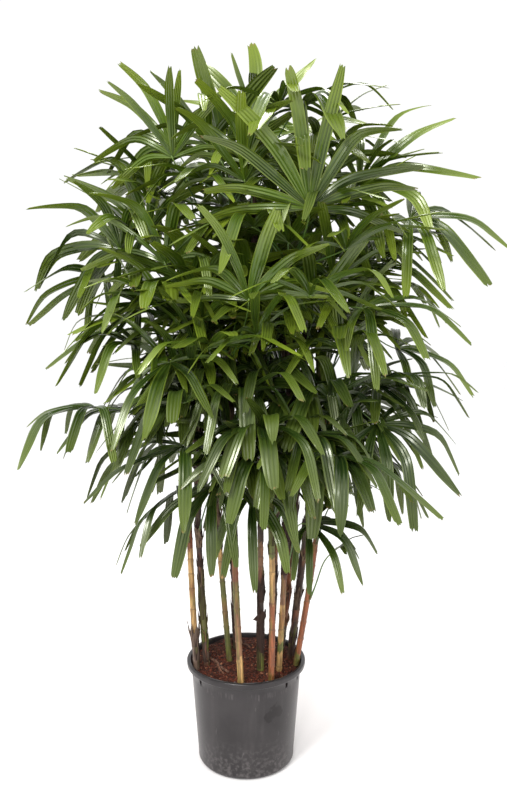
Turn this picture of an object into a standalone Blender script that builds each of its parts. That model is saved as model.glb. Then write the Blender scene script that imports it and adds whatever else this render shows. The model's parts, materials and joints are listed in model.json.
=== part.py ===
"""A potted lady palm: a clump of a dozen thin canes in a dark nursery pot, each cane with its fronds.

Metres, +Z up. The origin is the centre of the pot's flat underside, and -Y is the side that one sees.
The pot, its compost and each cane are pieces of their own. The fronds at a cane's top, up to five, are
one piece with the short shaft that carries them. Every lower frond is a piece that stands against its cane.
"""

import math
import random

import bmesh
import bpy
from mathutils import Matrix, Vector
from mathutils.bvhtree import BVHTree

UP = Vector((0.0, 0.0, 1.0))
GAP = 0.0003

# The pot: a thin tapered wall with a rolled lip, standing on its flat base.
POT_HEIGHT = 0.290
LIP_RADIUS = 0.165
NECK_RADIUS = 0.152
FOOT_RADIUS = 0.1335
BASE_RADIUS = 0.122
WALL = 0.003
LIP_DEPTH = 0.013
NECK_DEPTH = 0.023
FOOT_ROUND = 0.016
POT_SIDES = 32
COMPOST_TOP = 0.272

# The canes: where each one stands in the pot, where its top is, and its radius at the foot.
CANE_SIDES = 8
CANE_SPANS = 4
CANE_TAPER = 0.78
CANE_BOW = 0.012
CANES = (
    ((-0.135, -0.040), (-0.150, 0.000, 1.22), 0.0085),
    ((-0.108, -0.020), (-0.125, -0.050, 1.10), 0.0075),
    ((-0.045, -0.010), (-0.110, 0.040, 1.42), 0.0080),
    ((-0.030, 0.070), (-0.040, 0.090, 1.48), 0.0070),
    ((-0.012, -0.130), (-0.040, -0.120, 1.08), 0.0085),
    ((0.040, -0.060), (0.020, -0.030, 1.50), 0.0080),
    ((0.068, -0.115), (0.060, -0.130, 0.86), 0.0085),
    ((0.070, 0.065), (0.100, 0.100, 1.42), 0.0075),
    ((0.090, -0.055), (0.110, -0.090, 1.30), 0.0080),
    ((0.098, 0.045), (0.170, 0.060, 1.36), 0.0085),
    ((0.122, 0.012), (0.200, -0.020, 1.22), 0.0085),
    ((0.138, -0.018), (0.215, -0.060, 1.00), 0.0085),
)

# The shaft on top of a cane, from which its youngest fronds part, and where their stalks begin along it.
SHAFT_LENGTH = 0.075
SHAFT_SIDES = 6
SHAFT_TAPER = 0.6
CROWN_FRONDS = 3
INNER_FRONDS = 2
FIRST_STALK = 0.20
FIRST_INNER_STALK = 0.68
STALK_STEP = 0.16
SLIVER = 0.00002

# A frond: its stalk, the small web where the leaflets join, and the leaflets.
STALK_WIDTH = 0.0070
STALK_SPANS = 4
STALK_OUT = 0.25
STALK_UP = 0.55
STALK_INTO_BLADE = 0.30
STALK_DROP = 0.16
HIGHEST_STALK = 0.07
LOWEST_STALK = 0.20
WEB_RADIUS = 0.026
KEEL = 0.0031
PATH_STEPS = 12
LEAFLET_CUTS = (4, 8, 12)
SMALL_LEAFLET_CUTS = (6, 12)
SMALL_LEAFLET = 0.17
WIDTH_AT = {4: 1.0, 6: 1.0, 8: 0.96, 12: 0.42}
LEAFLET_WIDTH = 0.132
WIDEST_AT = 0.33
WIDTH_OF_ROOM = 0.86
FAN_TURN = 104.0
TURN_PER_LEAFLET = 34.0
LIFT = 0.16
DROOP = 1.20
DROOP_BEND = 1.35
LEVELLING = 0.65
CLEAR_OF_OTHERS = 0.0022
TRIES = 40
FEWEST_LEAFLETS = 3
JOINED_WITHIN = 0.06
SHIFT = 0.018
TURN = 12.0

# The fronds that show best, by cane: where the blade's base is, the way the blade points (the heading is
# counted from +X towards +Y), its pitch and roll, its longest leaflet, and the number of leaflets.
# The first three of each cane are its crown.
SHOWN = (
    (
        ((-0.32, -0.05, 1.41), 185, 12, 55, 0.27, 8),
        ((-0.38, 0.06, 1.34), 188, -25, 30, 0.22, 6),
        ((-0.26, -0.10, 1.27), 210, -30, 40, 0.28, 7),
        ((-0.21, -0.08, 0.93), 200, -15, 45, 0.29, 7),
        ((-0.17, -0.11, 0.79), 215, -35, 30, 0.27, 6),
        ((-0.19, 0.05, 0.86), 150, -20, 0, 0.23, 6),
    ),
    (
        ((-0.20, -0.10, 1.37), 230, 55, 20, 0.27, 7),
        ((-0.10, -0.20, 1.23), 240, 40, 0, 0.23, 6),
        ((-0.18, -0.20, 1.13), 250, -30, 10, 0.28, 6),
        ((-0.08, -0.19, 0.82), 250, -40, 0, 0.24, 6),
    ),
    (
        ((-0.19, 0.05, 1.67), 180, 32, 50, 0.25, 8),
        ((-0.26, 0.13, 1.58), 165, 20, 35, 0.26, 7),
        ((-0.26, 0.05, 1.46), 185, 40, 60, 0.25, 7),
    ),
    (
        ((-0.06, 0.00, 1.63), 190, 62, 40, 0.30, 6),
        ((0.01, 0.07, 1.73), 150, 62, 50, 0.21, 6),
        ((-0.05, 0.28, 1.62), 95, 35, 0, 0.28, 8),
    ),
    (
        ((0.01, -0.30, 1.28), 270, 55, 0, 0.24, 8),
        ((-0.08, -0.28, 1.17), 290, 10, 0, 0.25, 7),
        ((-0.14, -0.25, 1.04), 215, 0, 20, 0.26, 6),
        ((-0.04, -0.20, 0.95), 120, 60, 0, 0.17, 5),
    ),
    (
        ((0.02, 0.00, 1.69), 10, 70, 60, 0.25, 8),
        ((0.13, -0.15, 1.73), 300, 5, 20, 0.27, 7),
        ((0.00, -0.17, 1.56), 262, 40, 0, 0.26, 7),
    ),
    (
        ((0.04, -0.28, 0.93), 275, -20, 0, 0.25, 7),
        ((0.14, -0.26, 0.96), 320, 0, 0, 0.25, 7),
        ((0.02, -0.21, 0.81), 265, -45, 0, 0.23, 5),
    ),
    (
        ((0.13, 0.22, 1.60), 60, 45, 0, 0.28, 8),
        ((0.00, 0.36, 1.47), 105, 10, 0, 0.28, 7),
        ((0.28, 0.30, 1.44), 48, 10, 0, 0.28, 7),
    ),
    (
        ((0.15, -0.25, 1.49), 275, 68, 0, 0.32, 10),
        ((0.15, -0.29, 1.29), 285, 25, 0, 0.24, 7),
        ((0.24, -0.20, 1.40), 325, 25, 0, 0.26, 7),
        ((0.16, -0.17, 0.72), 330, -15, 20, 0.21, 7),
    ),
    (
        ((0.29, -0.05, 1.57), 348, 28, 60, 0.29, 8),
        ((0.41, -0.09, 1.48), 350, -5, 35, 0.29, 7),
        ((0.32, 0.24, 1.46), 32, 22, 0, 0.27, 7),
    ),
    (
        ((0.32, 0.03, 1.37), 355, 10, 45, 0.26, 7),
        ((0.29, -0.16, 1.26), 335, -5, 20, 0.28, 7),
        ((0.40, 0.01, 1.15), 0, -12, 20, 0.25, 6),
    ),
    (
        ((0.34, -0.04, 1.06), 350, -15, 20, 0.25, 6),
        ((0.33, -0.14, 0.97), 325, -30, 30, 0.28, 8),
        ((0.31, 0.09, 0.99), 30, -20, 0, 0.25, 7),
        ((0.23, -0.17, 0.79), 300, 40, 0, 0.12, 6),
        ((0.23, -0.09, 0.62), 330, 35, 0, 0.10, 3),
    ),
)

# The fronds that fill the sides, the back and the inside, and the ranges that they are drawn from.
MOST_SINGLE_FRONDS = 34
FILLERS = 44
FILLER_SEED = 7
GOLDEN_TURN = 137.5
FILLER_LOWEST = 0.73
FILLER_BELOW_TOP = 0.16
FILLER_REACH = (0.15, 0.27)
FILLER_RISE = (0.12, 0.20)
FILLER_LENGTH = (0.24, 0.30)
INNER_REACH = (0.09, 0.17)
INNER_RISE = (0.05, 0.24)
INNER_PITCH = (0.0, 55.0)
INNER_LENGTH = 0.24

LEAF_GREEN = (0.055, 0.150, 0.025)
CANE_BROWN = (0.260, 0.150, 0.070)
POT_GREY = (0.060, 0.060, 0.064)
COMPOST_BROWN = (0.085, 0.030, 0.016)


def finish(name, colour, roughness):
    """A plain plant or plastic finish."""
    material = bpy.data.materials.new(name)
    material.use_nodes = True
    shader = material.node_tree.nodes["Principled BSDF"]
    shader.inputs["Base Color"].default_value = (*colour, 1.0)
    shader.inputs["Roughness"].default_value = roughness
    shader.inputs["Metallic"].default_value = 0.0
    return material


def mesh_object(name, points, faces, material):
    """A closed mesh, whose faces point outwards, as an object in the scene."""
    mesh = bpy.data.meshes.new(name)
    mesh.from_pydata(points, [], faces)
    mesh.materials.append(material)
    made = bpy.data.objects.new(name, mesh)
    bpy.context.scene.collection.objects.link(made)
    return made


def turned(name, outline, sides, material):
    """A solid turned about Z from an outline of (radius, height) that starts and ends on the axis."""
    points = [(0.0, 0.0, outline[0][1])]
    rings = outline[1:-1]
    for radius, height in rings:
        for side in range(sides):
            angle = math.tau * side / sides
            points.append((radius * math.cos(angle), radius * math.sin(angle), height))
    points.append((0.0, 0.0, outline[-1][1]))
    last = len(points) - 1
    faces = []
    for side in range(sides):
        after = (side + 1) % sides
        faces.append((0, 1 + after, 1 + side))
        for ring in range(len(rings) - 1):
            start = 1 + ring * sides
            faces.append((start + side, start + after, start + sides + after, start + sides + side))
        start = 1 + (len(rings) - 1) * sides
        faces.append((start + side, start + after, last))
    return mesh_object(name, points, faces, material)


def pot_inside(height):
    """The inner radius of the pot's wall below the lip."""
    slope = (NECK_RADIUS - FOOT_RADIUS) / (POT_HEIGHT - NECK_DEPTH - FOOT_ROUND)
    return FOOT_RADIUS + slope * (height - FOOT_ROUND) - WALL


def make_pot(material):
    """The tapered pot, its lip rolled outwards and its foot rounded under."""
    neck = POT_HEIGHT - NECK_DEPTH
    outline = (
        (0.0, 0.0),
        (BASE_RADIUS, 0.0),
        (FOOT_RADIUS - 0.004, 0.25 * FOOT_ROUND),
        (FOOT_RADIUS, FOOT_ROUND),
        (NECK_RADIUS, neck),
        (LIP_RADIUS - 0.001, POT_HEIGHT - LIP_DEPTH),
        (LIP_RADIUS, POT_HEIGHT - 0.006),
        (LIP_RADIUS - 0.003, POT_HEIGHT),
        (LIP_RADIUS - 0.007, POT_HEIGHT),
        (pot_inside(neck), neck),
        (pot_inside(FOOT_ROUND), FOOT_ROUND),
        (BASE_RADIUS, WALL),
        (0.0, WALL),
    )
    return turned("pot", outline, POT_SIDES, material)


def make_compost(material):
    """The compost that fills the pot up to a finger's width under the lip."""
    clearance = 2.0 * GAP / math.cos(math.pi / POT_SIDES)
    outline = (
        (0.0, WALL + GAP),
        (BASE_RADIUS - 0.002, WALL + GAP),
        (pot_inside(FOOT_ROUND) - clearance, FOOT_ROUND + 0.001),
        (pot_inside(COMPOST_TOP - 0.008) - clearance, COMPOST_TOP - 0.008),
        (0.5 * LIP_RADIUS, COMPOST_TOP),
        (0.0, COMPOST_TOP),
    )
    return turned("compost", outline, POT_SIDES, material)


def cane_point(cane, height):
    """The cane's axis at a height: a straight lean with a slight outward bow."""
    foot, top, _ = CANES[cane]
    share = (height - COMPOST_TOP) / (top[2] - COMPOST_TOP)
    bow = CANE_BOW * math.sin(math.pi * min(max(share, 0.0), 1.0))
    outward = Vector((top[0], top[1], 0.0)).normalized()
    x = foot[0] + (top[0] - foot[0]) * share
    y = foot[1] + (top[1] - foot[1]) * share
    return Vector((x, y, height)) + outward * bow


def cane_radius(cane, height):
    """The cane's radius at a height, from its full size at the foot to the thinner top."""
    foot_radius = CANES[cane][2]
    share = (height - COMPOST_TOP) / (CANES[cane][1][2] - COMPOST_TOP)
    return foot_radius * (1.0 - (1.0 - CANE_TAPER) * min(max(share, 0.0), 1.0))


def rod(centres, radii, sides):
    """Points and faces of a closed rod through level rings."""
    points = []
    for centre, radius in zip(centres, radii):
        for side in range(sides):
            angle = math.tau * side / sides
            points.append(centre + radius * Vector((math.cos(angle), math.sin(angle), 0.0)))
    faces = [tuple(reversed(range(sides)))]
    for ring in range(len(centres) - 1):
        start = ring * sides
        for side in range(sides):
            after = (side + 1) % sides
            faces.append((start + side, start + after, start + sides + after, start + sides + side))
    faces.append(tuple(range((len(centres) - 1) * sides, len(centres) * sides)))
    return points, faces


def make_cane(cane, material):
    """One cane, from just above the compost to its top."""
    foot = COMPOST_TOP + GAP
    top = CANES[cane][1][2]
    heights = [foot + (top - foot) * step / CANE_SPANS for step in range(CANE_SPANS + 1)]
    centres = [cane_point(cane, height) for height in heights]
    radii = [cane_radius(cane, height) for height in heights]
    points, faces = rod(centres, radii, CANE_SIDES)
    return mesh_object(f"cane_{cane + 1:02d}", points, faces, material)


def fan_axes(heading, pitch, roll):
    """The way a blade points, its left side and its upper face."""
    turn = Matrix.Rotation(math.radians(heading), 3, "Z") @ Matrix.Rotation(math.radians(-pitch), 3, "Y")
    turn = turn @ Matrix.Rotation(math.radians(roll), 3, "X")
    return turn @ Vector((1.0, 0.0, 0.0)), turn @ Vector((0.0, 1.0, 0.0)), turn @ Vector((0.0, 0.0, 1.0))


def leaflet_path(start, ahead, side, length, droop):
    """Points, side vectors and face vectors along a leaflet that leaves its web and bends down."""
    path = []
    point = start.copy()
    for step in range(PATH_STEPS + 1):
        share = step / PATH_STEPS
        along = (ahead - UP * droop * share ** DROOP_BEND).normalized()
        across = (side - along * side.dot(along)).normalized()
        level = UP.cross(along)
        if level.dot(across) < 0.0:
            level = -level
        across = across.lerp(level, LEVELLING * share * min(level.length, 1.0)).normalized()
        across = (across - along * across.dot(along)).normalized()
        path.append((point.copy(), across, along.cross(across)))
        point = point + along * (length / PATH_STEPS)
    return path


def frond_plan(length, leaflets, seed):
    """The edges between a frond's leaflets, and each leaflet's direction, length, width and droop."""
    chance = random.Random(seed)
    turn = min(FAN_TURN, 0.5 * TURN_PER_LEAFLET * leaflets)
    edges = []
    for edge in range(leaflets + 1):
        angle = -turn + 2.0 * turn * edge / leaflets
        if 0 < edge < leaflets:
            angle += chance.uniform(-4.0, 4.0)
        edges.append(math.radians(angle))
    plan = []
    turn_each = math.radians(turn / leaflets)
    for leaflet in range(leaflets):
        angle = 0.5 * (edges[leaflet] + edges[leaflet + 1])
        share = 0.66 + 0.34 * math.cos(0.8 * angle) + chance.uniform(-0.09, 0.05)
        width = length * LEAFLET_WIDTH * (0.72 + 0.28 * math.cos(angle)) * chance.uniform(0.72, 1.28)
        room = 2.0 * (WIDEST_AT * length * share + 0.5 * WEB_RADIUS) * math.tan(turn_each)
        width = min(width, WIDTH_OF_ROOM * room)
        droop = DROOP * chance.uniform(0.45, 1.15)
        plan.append((angle, length * share, width, droop))
    return edges, plan


def stalk_path(foot, outward, hub, ahead):
    """A stalk's line: out and up from the cane, then over into the blade."""
    rise = max(hub.z - foot.z, 0.05)
    leave = foot + outward * STALK_OUT * (hub - foot).length + UP * STALK_UP * rise
    arrive = hub - ahead * STALK_INTO_BLADE * (hub - foot).length
    points = []
    for step in range(1, STALK_SPANS):
        share = step / STALK_SPANS
        rest = 1.0 - share
        points.append(
            foot * rest ** 3
            + leave * 3.0 * rest * rest * share
            + arrive * 3.0 * rest * share * share
            + hub * share ** 3
        )
    return points


def frond_shape(frond, foot, outward, seed, grow, kept=None):
    """Points and faces of one frond, and which faces belong to each leaflet and, last, to the stalk.

    grow widens everything, for the test against neighbours, and kept lists the leaflets that are built.
    """
    hub, heading, pitch, roll, length, leaflets = frond
    hub = Vector(hub)
    ahead, side, upper = fan_axes(heading, pitch, roll)
    edges, plan = frond_plan(length, leaflets, seed)
    keel = KEEL + grow
    points = [hub, hub - upper * keel]
    for edge in edges:
        points.append(hub + WEB_RADIUS * (math.cos(edge) * ahead + math.sin(edge) * side))
    faces = [(0, 2 + index, 3 + index) for index in range(leaflets)]
    faces.append((0, 2 + leaflets, 2))

    def section(loop, centre, across, face, half):
        """Adds a section, whose corners are right, left and under, and the skin from the loop before it."""
        first = len(points)
        points.extend((centre - across * half, centre + across * half, centre - face * keel))
        after = (first, first + 1, first + 2)
        right, left, under = loop
        right_after, left_after, under_after = after
        faces.extend(((right, right_after, left_after), (right, left_after, left)))
        faces.extend(((left, left_after, under_after), (left, under_after, under)))
        faces.extend(((right, under, under_after), (right, under_after, right_after)))
        return after

    spans = []
    for leaflet, (angle, reach, width, droop) in enumerate(plan):
        begin = len(faces)
        loop = (2 + leaflet, 3 + leaflet, 1)
        if kept is None or leaflet in kept:
            start = hub + 0.5 * WEB_RADIUS * (math.cos(angle) * ahead + math.sin(angle) * side)
            outwards = (math.cos(angle) * ahead + math.sin(angle) * side + upper * LIFT).normalized()
            across = math.cos(angle) * side - math.sin(angle) * ahead
            path = leaflet_path(start, outwards, across, reach, droop)
            for cut in SMALL_LEAFLET_CUTS if reach < SMALL_LEAFLET else LEAFLET_CUTS:
                centre, across, face = path[cut]
                loop = section(loop, centre, across, face, 0.5 * width * WIDTH_AT[cut] + grow)
        faces.append((loop[0], loop[2], loop[1]))
        spans.append((begin, len(faces)))

    loop = (2 + leaflets, 2, 1)
    begin = len(faces)
    line = stalk_path(foot, outward, hub, ahead)
    foot_across = UP.cross(outward)
    for index in range(STALK_SPANS - 2, -1, -1):
        ends = (foot, *line, hub)
        along = (ends[index + 2] - ends[index]).normalized()
        across = side.lerp(foot_across, 1.0 - (index + 1) / STALK_SPANS)
        across = (across - along * across.dot(along)).normalized()
        loop = section(loop, line[index], -across, along.cross(across), 0.5 * STALK_WIDTH + grow)
    loop = section(loop, foot, -foot_across, UP, 0.5 * STALK_WIDTH + grow)
    faces.append((loop[0], loop[2], loop[1]))
    spans.append((begin, len(faces)))
    return points, faces, spans


def owners(faces, spans):
    """The part that each face belongs to: a leaflet's number, the stalk's, or -1 for the web."""
    owner = [-1] * len(faces)
    for part, (begin, end) in enumerate(spans):
        owner[begin:end] = [part] * (end - begin)
    return owner


def clear_of_others(shape, foot, standing, beside):
    """The leaflets that touch nothing else, or None where the stalk or the web runs into something.

    Only the foot of a stalk may run into the fronds beside it on the same shaft, as they are joined there.
    """
    points, faces, spans = shape
    owner = owners(faces, spans)
    stalk = len(spans) - 1
    tree = BVHTree.FromPolygons(points, faces)
    touched = set()
    for other in standing:
        touched.update(owner[pair[0]] for pair in tree.overlap(other))
    if stalk in touched or -1 in touched:
        return None
    for other in beside:
        for face in {pair[0] for pair in tree.overlap(other)}:
            if 0 <= owner[face] < stalk:
                touched.add(owner[face])
            elif (points[faces[face][0]] - foot).length > JOINED_WITHIN:
                return None
    return [part for part in range(stalk) if part not in touched]


def crossing_itself(shape):
    """The leaflets that would have to go for the frond not to run through itself."""
    points, faces, spans = shape
    owner = owners(faces, spans)
    stalk = len(spans) - 1
    tree = BVHTree.FromPolygons(points, faces)
    crossed = set()
    for one, two in tree.overlap(tree):
        low, high = sorted((owner[one], owner[two]))
        if set(faces[one]) & set(faces[two]):
            continue
        if low in crossed or high in crossed:
            continue
        crossed.add(low if high == stalk else high)
    return crossed


def settle(frond, foot, outward, seed, standing, beside=()):
    """The frond turned a little at a time until it is clear of the rest, and the leaflets that it keeps."""
    best = None
    for attempt in range(TRIES):
        chance = random.Random(seed * 100 + attempt)
        sway = 0.0 if attempt == 0 else 1.0 + attempt / TRIES
        hub, heading, pitch, roll, length, leaflets = frond
        moved = Vector(hub) + sway * SHIFT * Vector([chance.uniform(-1.0, 1.0) for _ in range(3)])
        turned_to = heading + sway * TURN * chance.uniform(-1.0, 1.0)
        tipped = pitch + sway * TURN * chance.uniform(-1.0, 1.0)
        rolled = roll + sway * TURN * chance.uniform(-1.0, 1.0)
        tried = (moved, turned_to, tipped, rolled, length, leaflets)
        grown = frond_shape(tried, foot, outward, seed, CLEAR_OF_OTHERS)
        kept = clear_of_others(grown, foot, standing, beside)
        if kept is None:
            continue
        crossed = crossing_itself(frond_shape(tried, foot, outward, seed, 0.0))
        if -1 in crossed:
            continue
        kept = [part for part in kept if part not in crossed]
        if best is None or len(kept) > len(best[1]):
            best = (tried, kept)
        if len(kept) == leaflets:
            break
    return best


def foot_on_cane(cane, height, hub):
    """Where a lower frond's stalk stands against its cane, and the way out from the cane there."""
    axis = cane_point(cane, height)
    outward = Vector((hub[0] - axis.x, hub[1] - axis.y, 0.0)).normalized()
    return axis + outward * (cane_radius(cane, height - 0.01) + 0.001), outward


def foot_on_shaft(cane, place, hub):
    """Where a crown frond's stalk begins inside the shaft, and the way out from there."""
    axis = cane_point(cane, CANES[cane][1][2]) + UP * SHAFT_LENGTH * place
    outward = Vector((hub[0] - axis.x, hub[1] - axis.y, 0.0)).normalized()
    return axis + outward * 0.001, outward


def filler_fronds():
    """The fronds that no photograph of one side shows, by a seeded rule over all canes."""
    chance = random.Random(FILLER_SEED)
    made = []
    for number in range(FILLERS):
        cane = (5 * number) % len(CANES)
        top = CANES[cane][1][2] - FILLER_BELOW_TOP
        share = (number * 0.618) % 1.0
        height = FILLER_LOWEST + (top - FILLER_LOWEST) * share
        heading = number * GOLDEN_TURN
        reach = chance.uniform(*FILLER_REACH)
        axis = cane_point(cane, height)
        way = Vector((math.cos(math.radians(heading)), math.sin(math.radians(heading)), 0.0))
        hub = axis + way * reach + UP * chance.uniform(*FILLER_RISE)
        pitch = -25.0 + 50.0 * (hub.z - FILLER_LOWEST) + chance.uniform(-10.0, 10.0)
        length = chance.uniform(*FILLER_LENGTH)
        roll = chance.uniform(-15.0, 15.0)
        made.append((cane, height, (hub, heading, pitch, roll, length, 6 + number % 2)))
    return made


def inner_fronds(cane):
    """The fronds inside a crown, short and steep, by the same kind of rule."""
    chance = random.Random(FILLER_SEED + 100 * (cane + 1))
    top = CANES[cane][1][2]
    made = []
    for number in range(INNER_FRONDS):
        heading = GOLDEN_TURN * (2 * cane + number)
        way = Vector((math.cos(math.radians(heading)), math.sin(math.radians(heading)), 0.0))
        hub = cane_point(cane, top) + way * chance.uniform(*INNER_REACH) + UP * chance.uniform(*INNER_RISE)
        pitch = chance.uniform(*INNER_PITCH)
        made.append((hub, heading, pitch, chance.uniform(-20.0, 20.0), INNER_LENGTH, 6))
    return made


def stalk_foot_height(cane, hub):
    """How far down its cane a lower frond's stalk begins."""
    highest = CANES[cane][1][2] - HIGHEST_STALK
    return max(min(hub[2] - STALK_DROP, highest), COMPOST_TOP + LOWEST_STALK)


def tree_of(made):
    """What stands already, for the test against neighbours."""
    points = [vertex.co.copy() for vertex in made.data.vertices]
    return BVHTree.FromPolygons(points, [tuple(face.vertices) for face in made.data.polygons])


def flip_slivers(shell):
    """Turns the long edge of every very flat triangle over to the corner that all but lies on it."""
    for _ in range(len(shell.faces)):
        for face in shell.faces:
            longest = max(face.edges, key=lambda edge: edge.calc_length())
            if 2.0 * face.calc_area() < SLIVER * longest.calc_length():
                break
        else:
            return
        bmesh.ops.rotate_edges(shell, edges=[longest])


def keep_outer_skin(mesh):
    """Drops the inner skins of hollows that a union sealed, and its loose scraps."""
    shell = bmesh.new()
    shell.from_mesh(mesh)
    bmesh.ops.triangulate(shell, faces=shell.faces)
    bmesh.ops.dissolve_degenerate(shell, dist=SLIVER, edges=shell.edges)
    bmesh.ops.triangulate(shell, faces=shell.faces)
    flip_slivers(shell)
    unseen = set(shell.faces)
    skins = []
    while unseen:
        waiting = [unseen.pop()]
        skin = list(waiting)
        while waiting:
            for edge in waiting.pop().edges:
                for face in edge.link_faces:
                    if face in unseen:
                        unseen.remove(face)
                        waiting.append(face)
                        skin.append(face)
        skins.append(skin)
    skins.sort(key=len)
    for skin in skins[:-1]:
        bmesh.ops.delete(shell, geom=skin, context="FACES")
    shell.to_mesh(mesh)
    shell.free()


def join_solids(name, pieces):
    """One closed body from overlapping ones, by a Boolean union that is applied."""
    group = bpy.data.collections.new(name + "_parts")
    bpy.context.scene.collection.children.link(group)
    base = pieces[0]
    for piece in pieces[1:]:
        bpy.context.scene.collection.objects.unlink(piece)
        group.objects.link(piece)
    union = base.modifiers.new("union", "BOOLEAN")
    union.operation = "UNION"
    union.operand_type = "COLLECTION"
    union.collection = group
    union.solver = "MANIFOLD"
    bpy.context.view_layer.update()
    evaluated = base.evaluated_get(bpy.context.evaluated_depsgraph_get())
    joined = bpy.data.meshes.new_from_object(evaluated)
    keep_outer_skin(joined)
    base.modifiers.clear()
    base.data = joined
    base.name = name
    joined.name = name
    for piece in pieces[1:]:
        bpy.data.objects.remove(piece, do_unlink=True)
    bpy.data.collections.remove(group)
    return base


def shaft_shape(cane):
    """Points and faces of the shaft that carries a crown, from just above its cane's top."""
    top = CANES[cane][1][2]
    radius = cane_radius(cane, top)
    base = cane_point(cane, top)
    ends = [base + UP * 2.0 * GAP, base + UP * SHAFT_LENGTH]
    return rod(ends, [radius, SHAFT_TAPER * radius], SHAFT_SIDES)


def place_frond(placed, fixed, shafts, cane, frond, foot, outward, seed, in_crown):
    """Settles one frond among those that are placed, and notes it if enough of it is clear."""
    standing = fixed + [shaft for other, shaft in enumerate(shafts) if other != cane or not in_crown]
    beside = []
    for other in placed:
        fused = in_crown and other["in_crown"] and other["cane"] == cane
        (beside if fused else standing).append(other["tree"])
    best = settle(frond, foot, outward, seed, standing, beside)
    if best is None or len(best[1]) < FEWEST_LEAFLETS:
        return
    points, faces, _ = frond_shape(best[0], foot, outward, seed, 0.0, best[1])
    tree = BVHTree.FromPolygons(points, faces)
    placed.append({"cane": cane, "in_crown": in_crown, "points": points, "faces": faces, "tree": tree})


def place_all(fixed):
    """Every frond of the clump: the crowns, the lower fronds that show, then what fills the rest."""
    placed = []
    front_first = sorted(range(len(CANES)), key=lambda cane: CANES[cane][1][1])
    shafts = [BVHTree.FromPolygons(*shaft_shape(cane)) for cane in range(len(CANES))]
    for cane in front_first:
        for number, frond in enumerate(SHOWN[cane][:CROWN_FRONDS]):
            foot, outward = foot_on_shaft(cane, FIRST_STALK + STALK_STEP * number, frond[0])
            place_frond(placed, fixed, shafts, cane, frond, foot, outward, 10 * cane + number, True)
    for cane in front_first:
        for number, frond in enumerate(SHOWN[cane][CROWN_FRONDS:]):
            foot, outward = foot_on_cane(cane, stalk_foot_height(cane, frond[0]), frond[0])
            place_frond(placed, fixed, shafts, cane, frond, foot, outward, 500 + 10 * cane + number, False)
    for cane in front_first:
        for number, frond in enumerate(inner_fronds(cane)):
            foot, outward = foot_on_shaft(cane, FIRST_INNER_STALK + STALK_STEP * number, frond[0])
            place_frond(placed, fixed, shafts, cane, frond, foot, outward, 300 + 10 * cane + number, True)
    for number, (cane, height, frond) in enumerate(filler_fronds()):
        if sum(not other["in_crown"] for other in placed) == MOST_SINGLE_FRONDS:
            break
        foot, outward = foot_on_cane(cane, height, frond[0])
        place_frond(placed, fixed, shafts, cane, frond, foot, outward, 900 + number, False)
    return placed


def make_fronds(placed, material):
    """The crowns, each fused with its shaft, and the lower fronds, each a piece of its own."""
    for cane in range(len(CANES)):
        pieces = [mesh_object("shaft", *shaft_shape(cane), material)]
        for frond in placed:
            if frond["in_crown"] and frond["cane"] == cane:
                pieces.append(mesh_object("frond", frond["points"], frond["faces"], material))
        join_solids(f"crown_{cane + 1:02d}", pieces)
    singles = [frond for frond in placed if not frond["in_crown"]]
    for number, frond in enumerate(singles):
        mesh_object(f"frond_{number + 1:02d}", frond["points"], frond["faces"], material)


for old in list(bpy.data.objects):
    bpy.data.objects.remove(old, do_unlink=True)

leaf = finish("leaf", LEAF_GREEN, 0.45)
cane_skin = finish("cane", CANE_BROWN, 0.70)
plastic = finish("pot_plastic", POT_GREY, 0.50)
compost = finish("compost", COMPOST_BROWN, 0.95)

made = [make_pot(plastic), make_compost(compost)]
made += [make_cane(cane, cane_skin) for cane in range(len(CANES))]
make_fronds(place_all([tree_of(solid) for solid in made]), leaf)
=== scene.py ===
"""The looks of a potted lady palm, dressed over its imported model.

Metres, +Z up, in the model's own frame: the pot stands on the floor at the origin and is seen from -Y.
"""

import json
import math
import random

import bmesh
import bpy
from mathutils import Matrix, Vector, noise

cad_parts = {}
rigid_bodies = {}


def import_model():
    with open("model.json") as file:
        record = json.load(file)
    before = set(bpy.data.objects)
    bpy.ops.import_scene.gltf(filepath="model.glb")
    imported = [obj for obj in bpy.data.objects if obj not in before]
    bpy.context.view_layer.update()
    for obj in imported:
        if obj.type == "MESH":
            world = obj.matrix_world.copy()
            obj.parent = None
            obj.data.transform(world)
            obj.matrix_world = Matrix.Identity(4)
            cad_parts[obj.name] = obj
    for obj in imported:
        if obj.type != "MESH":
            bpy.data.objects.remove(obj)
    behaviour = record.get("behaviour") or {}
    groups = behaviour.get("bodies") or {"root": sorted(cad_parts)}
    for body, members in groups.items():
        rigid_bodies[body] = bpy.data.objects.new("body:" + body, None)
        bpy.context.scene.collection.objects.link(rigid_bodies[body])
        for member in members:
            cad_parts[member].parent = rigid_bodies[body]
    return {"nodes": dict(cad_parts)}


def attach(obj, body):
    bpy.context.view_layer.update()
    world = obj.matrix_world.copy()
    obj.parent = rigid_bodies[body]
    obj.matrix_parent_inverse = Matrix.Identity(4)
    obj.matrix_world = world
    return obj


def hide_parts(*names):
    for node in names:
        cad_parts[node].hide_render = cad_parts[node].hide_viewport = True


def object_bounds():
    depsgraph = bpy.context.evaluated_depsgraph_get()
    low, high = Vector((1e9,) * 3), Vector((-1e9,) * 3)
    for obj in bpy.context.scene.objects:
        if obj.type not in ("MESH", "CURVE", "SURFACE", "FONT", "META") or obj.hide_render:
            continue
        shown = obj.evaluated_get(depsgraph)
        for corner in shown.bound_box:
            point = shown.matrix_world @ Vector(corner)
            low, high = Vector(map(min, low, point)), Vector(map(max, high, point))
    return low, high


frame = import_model()
cad_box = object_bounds()

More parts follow.
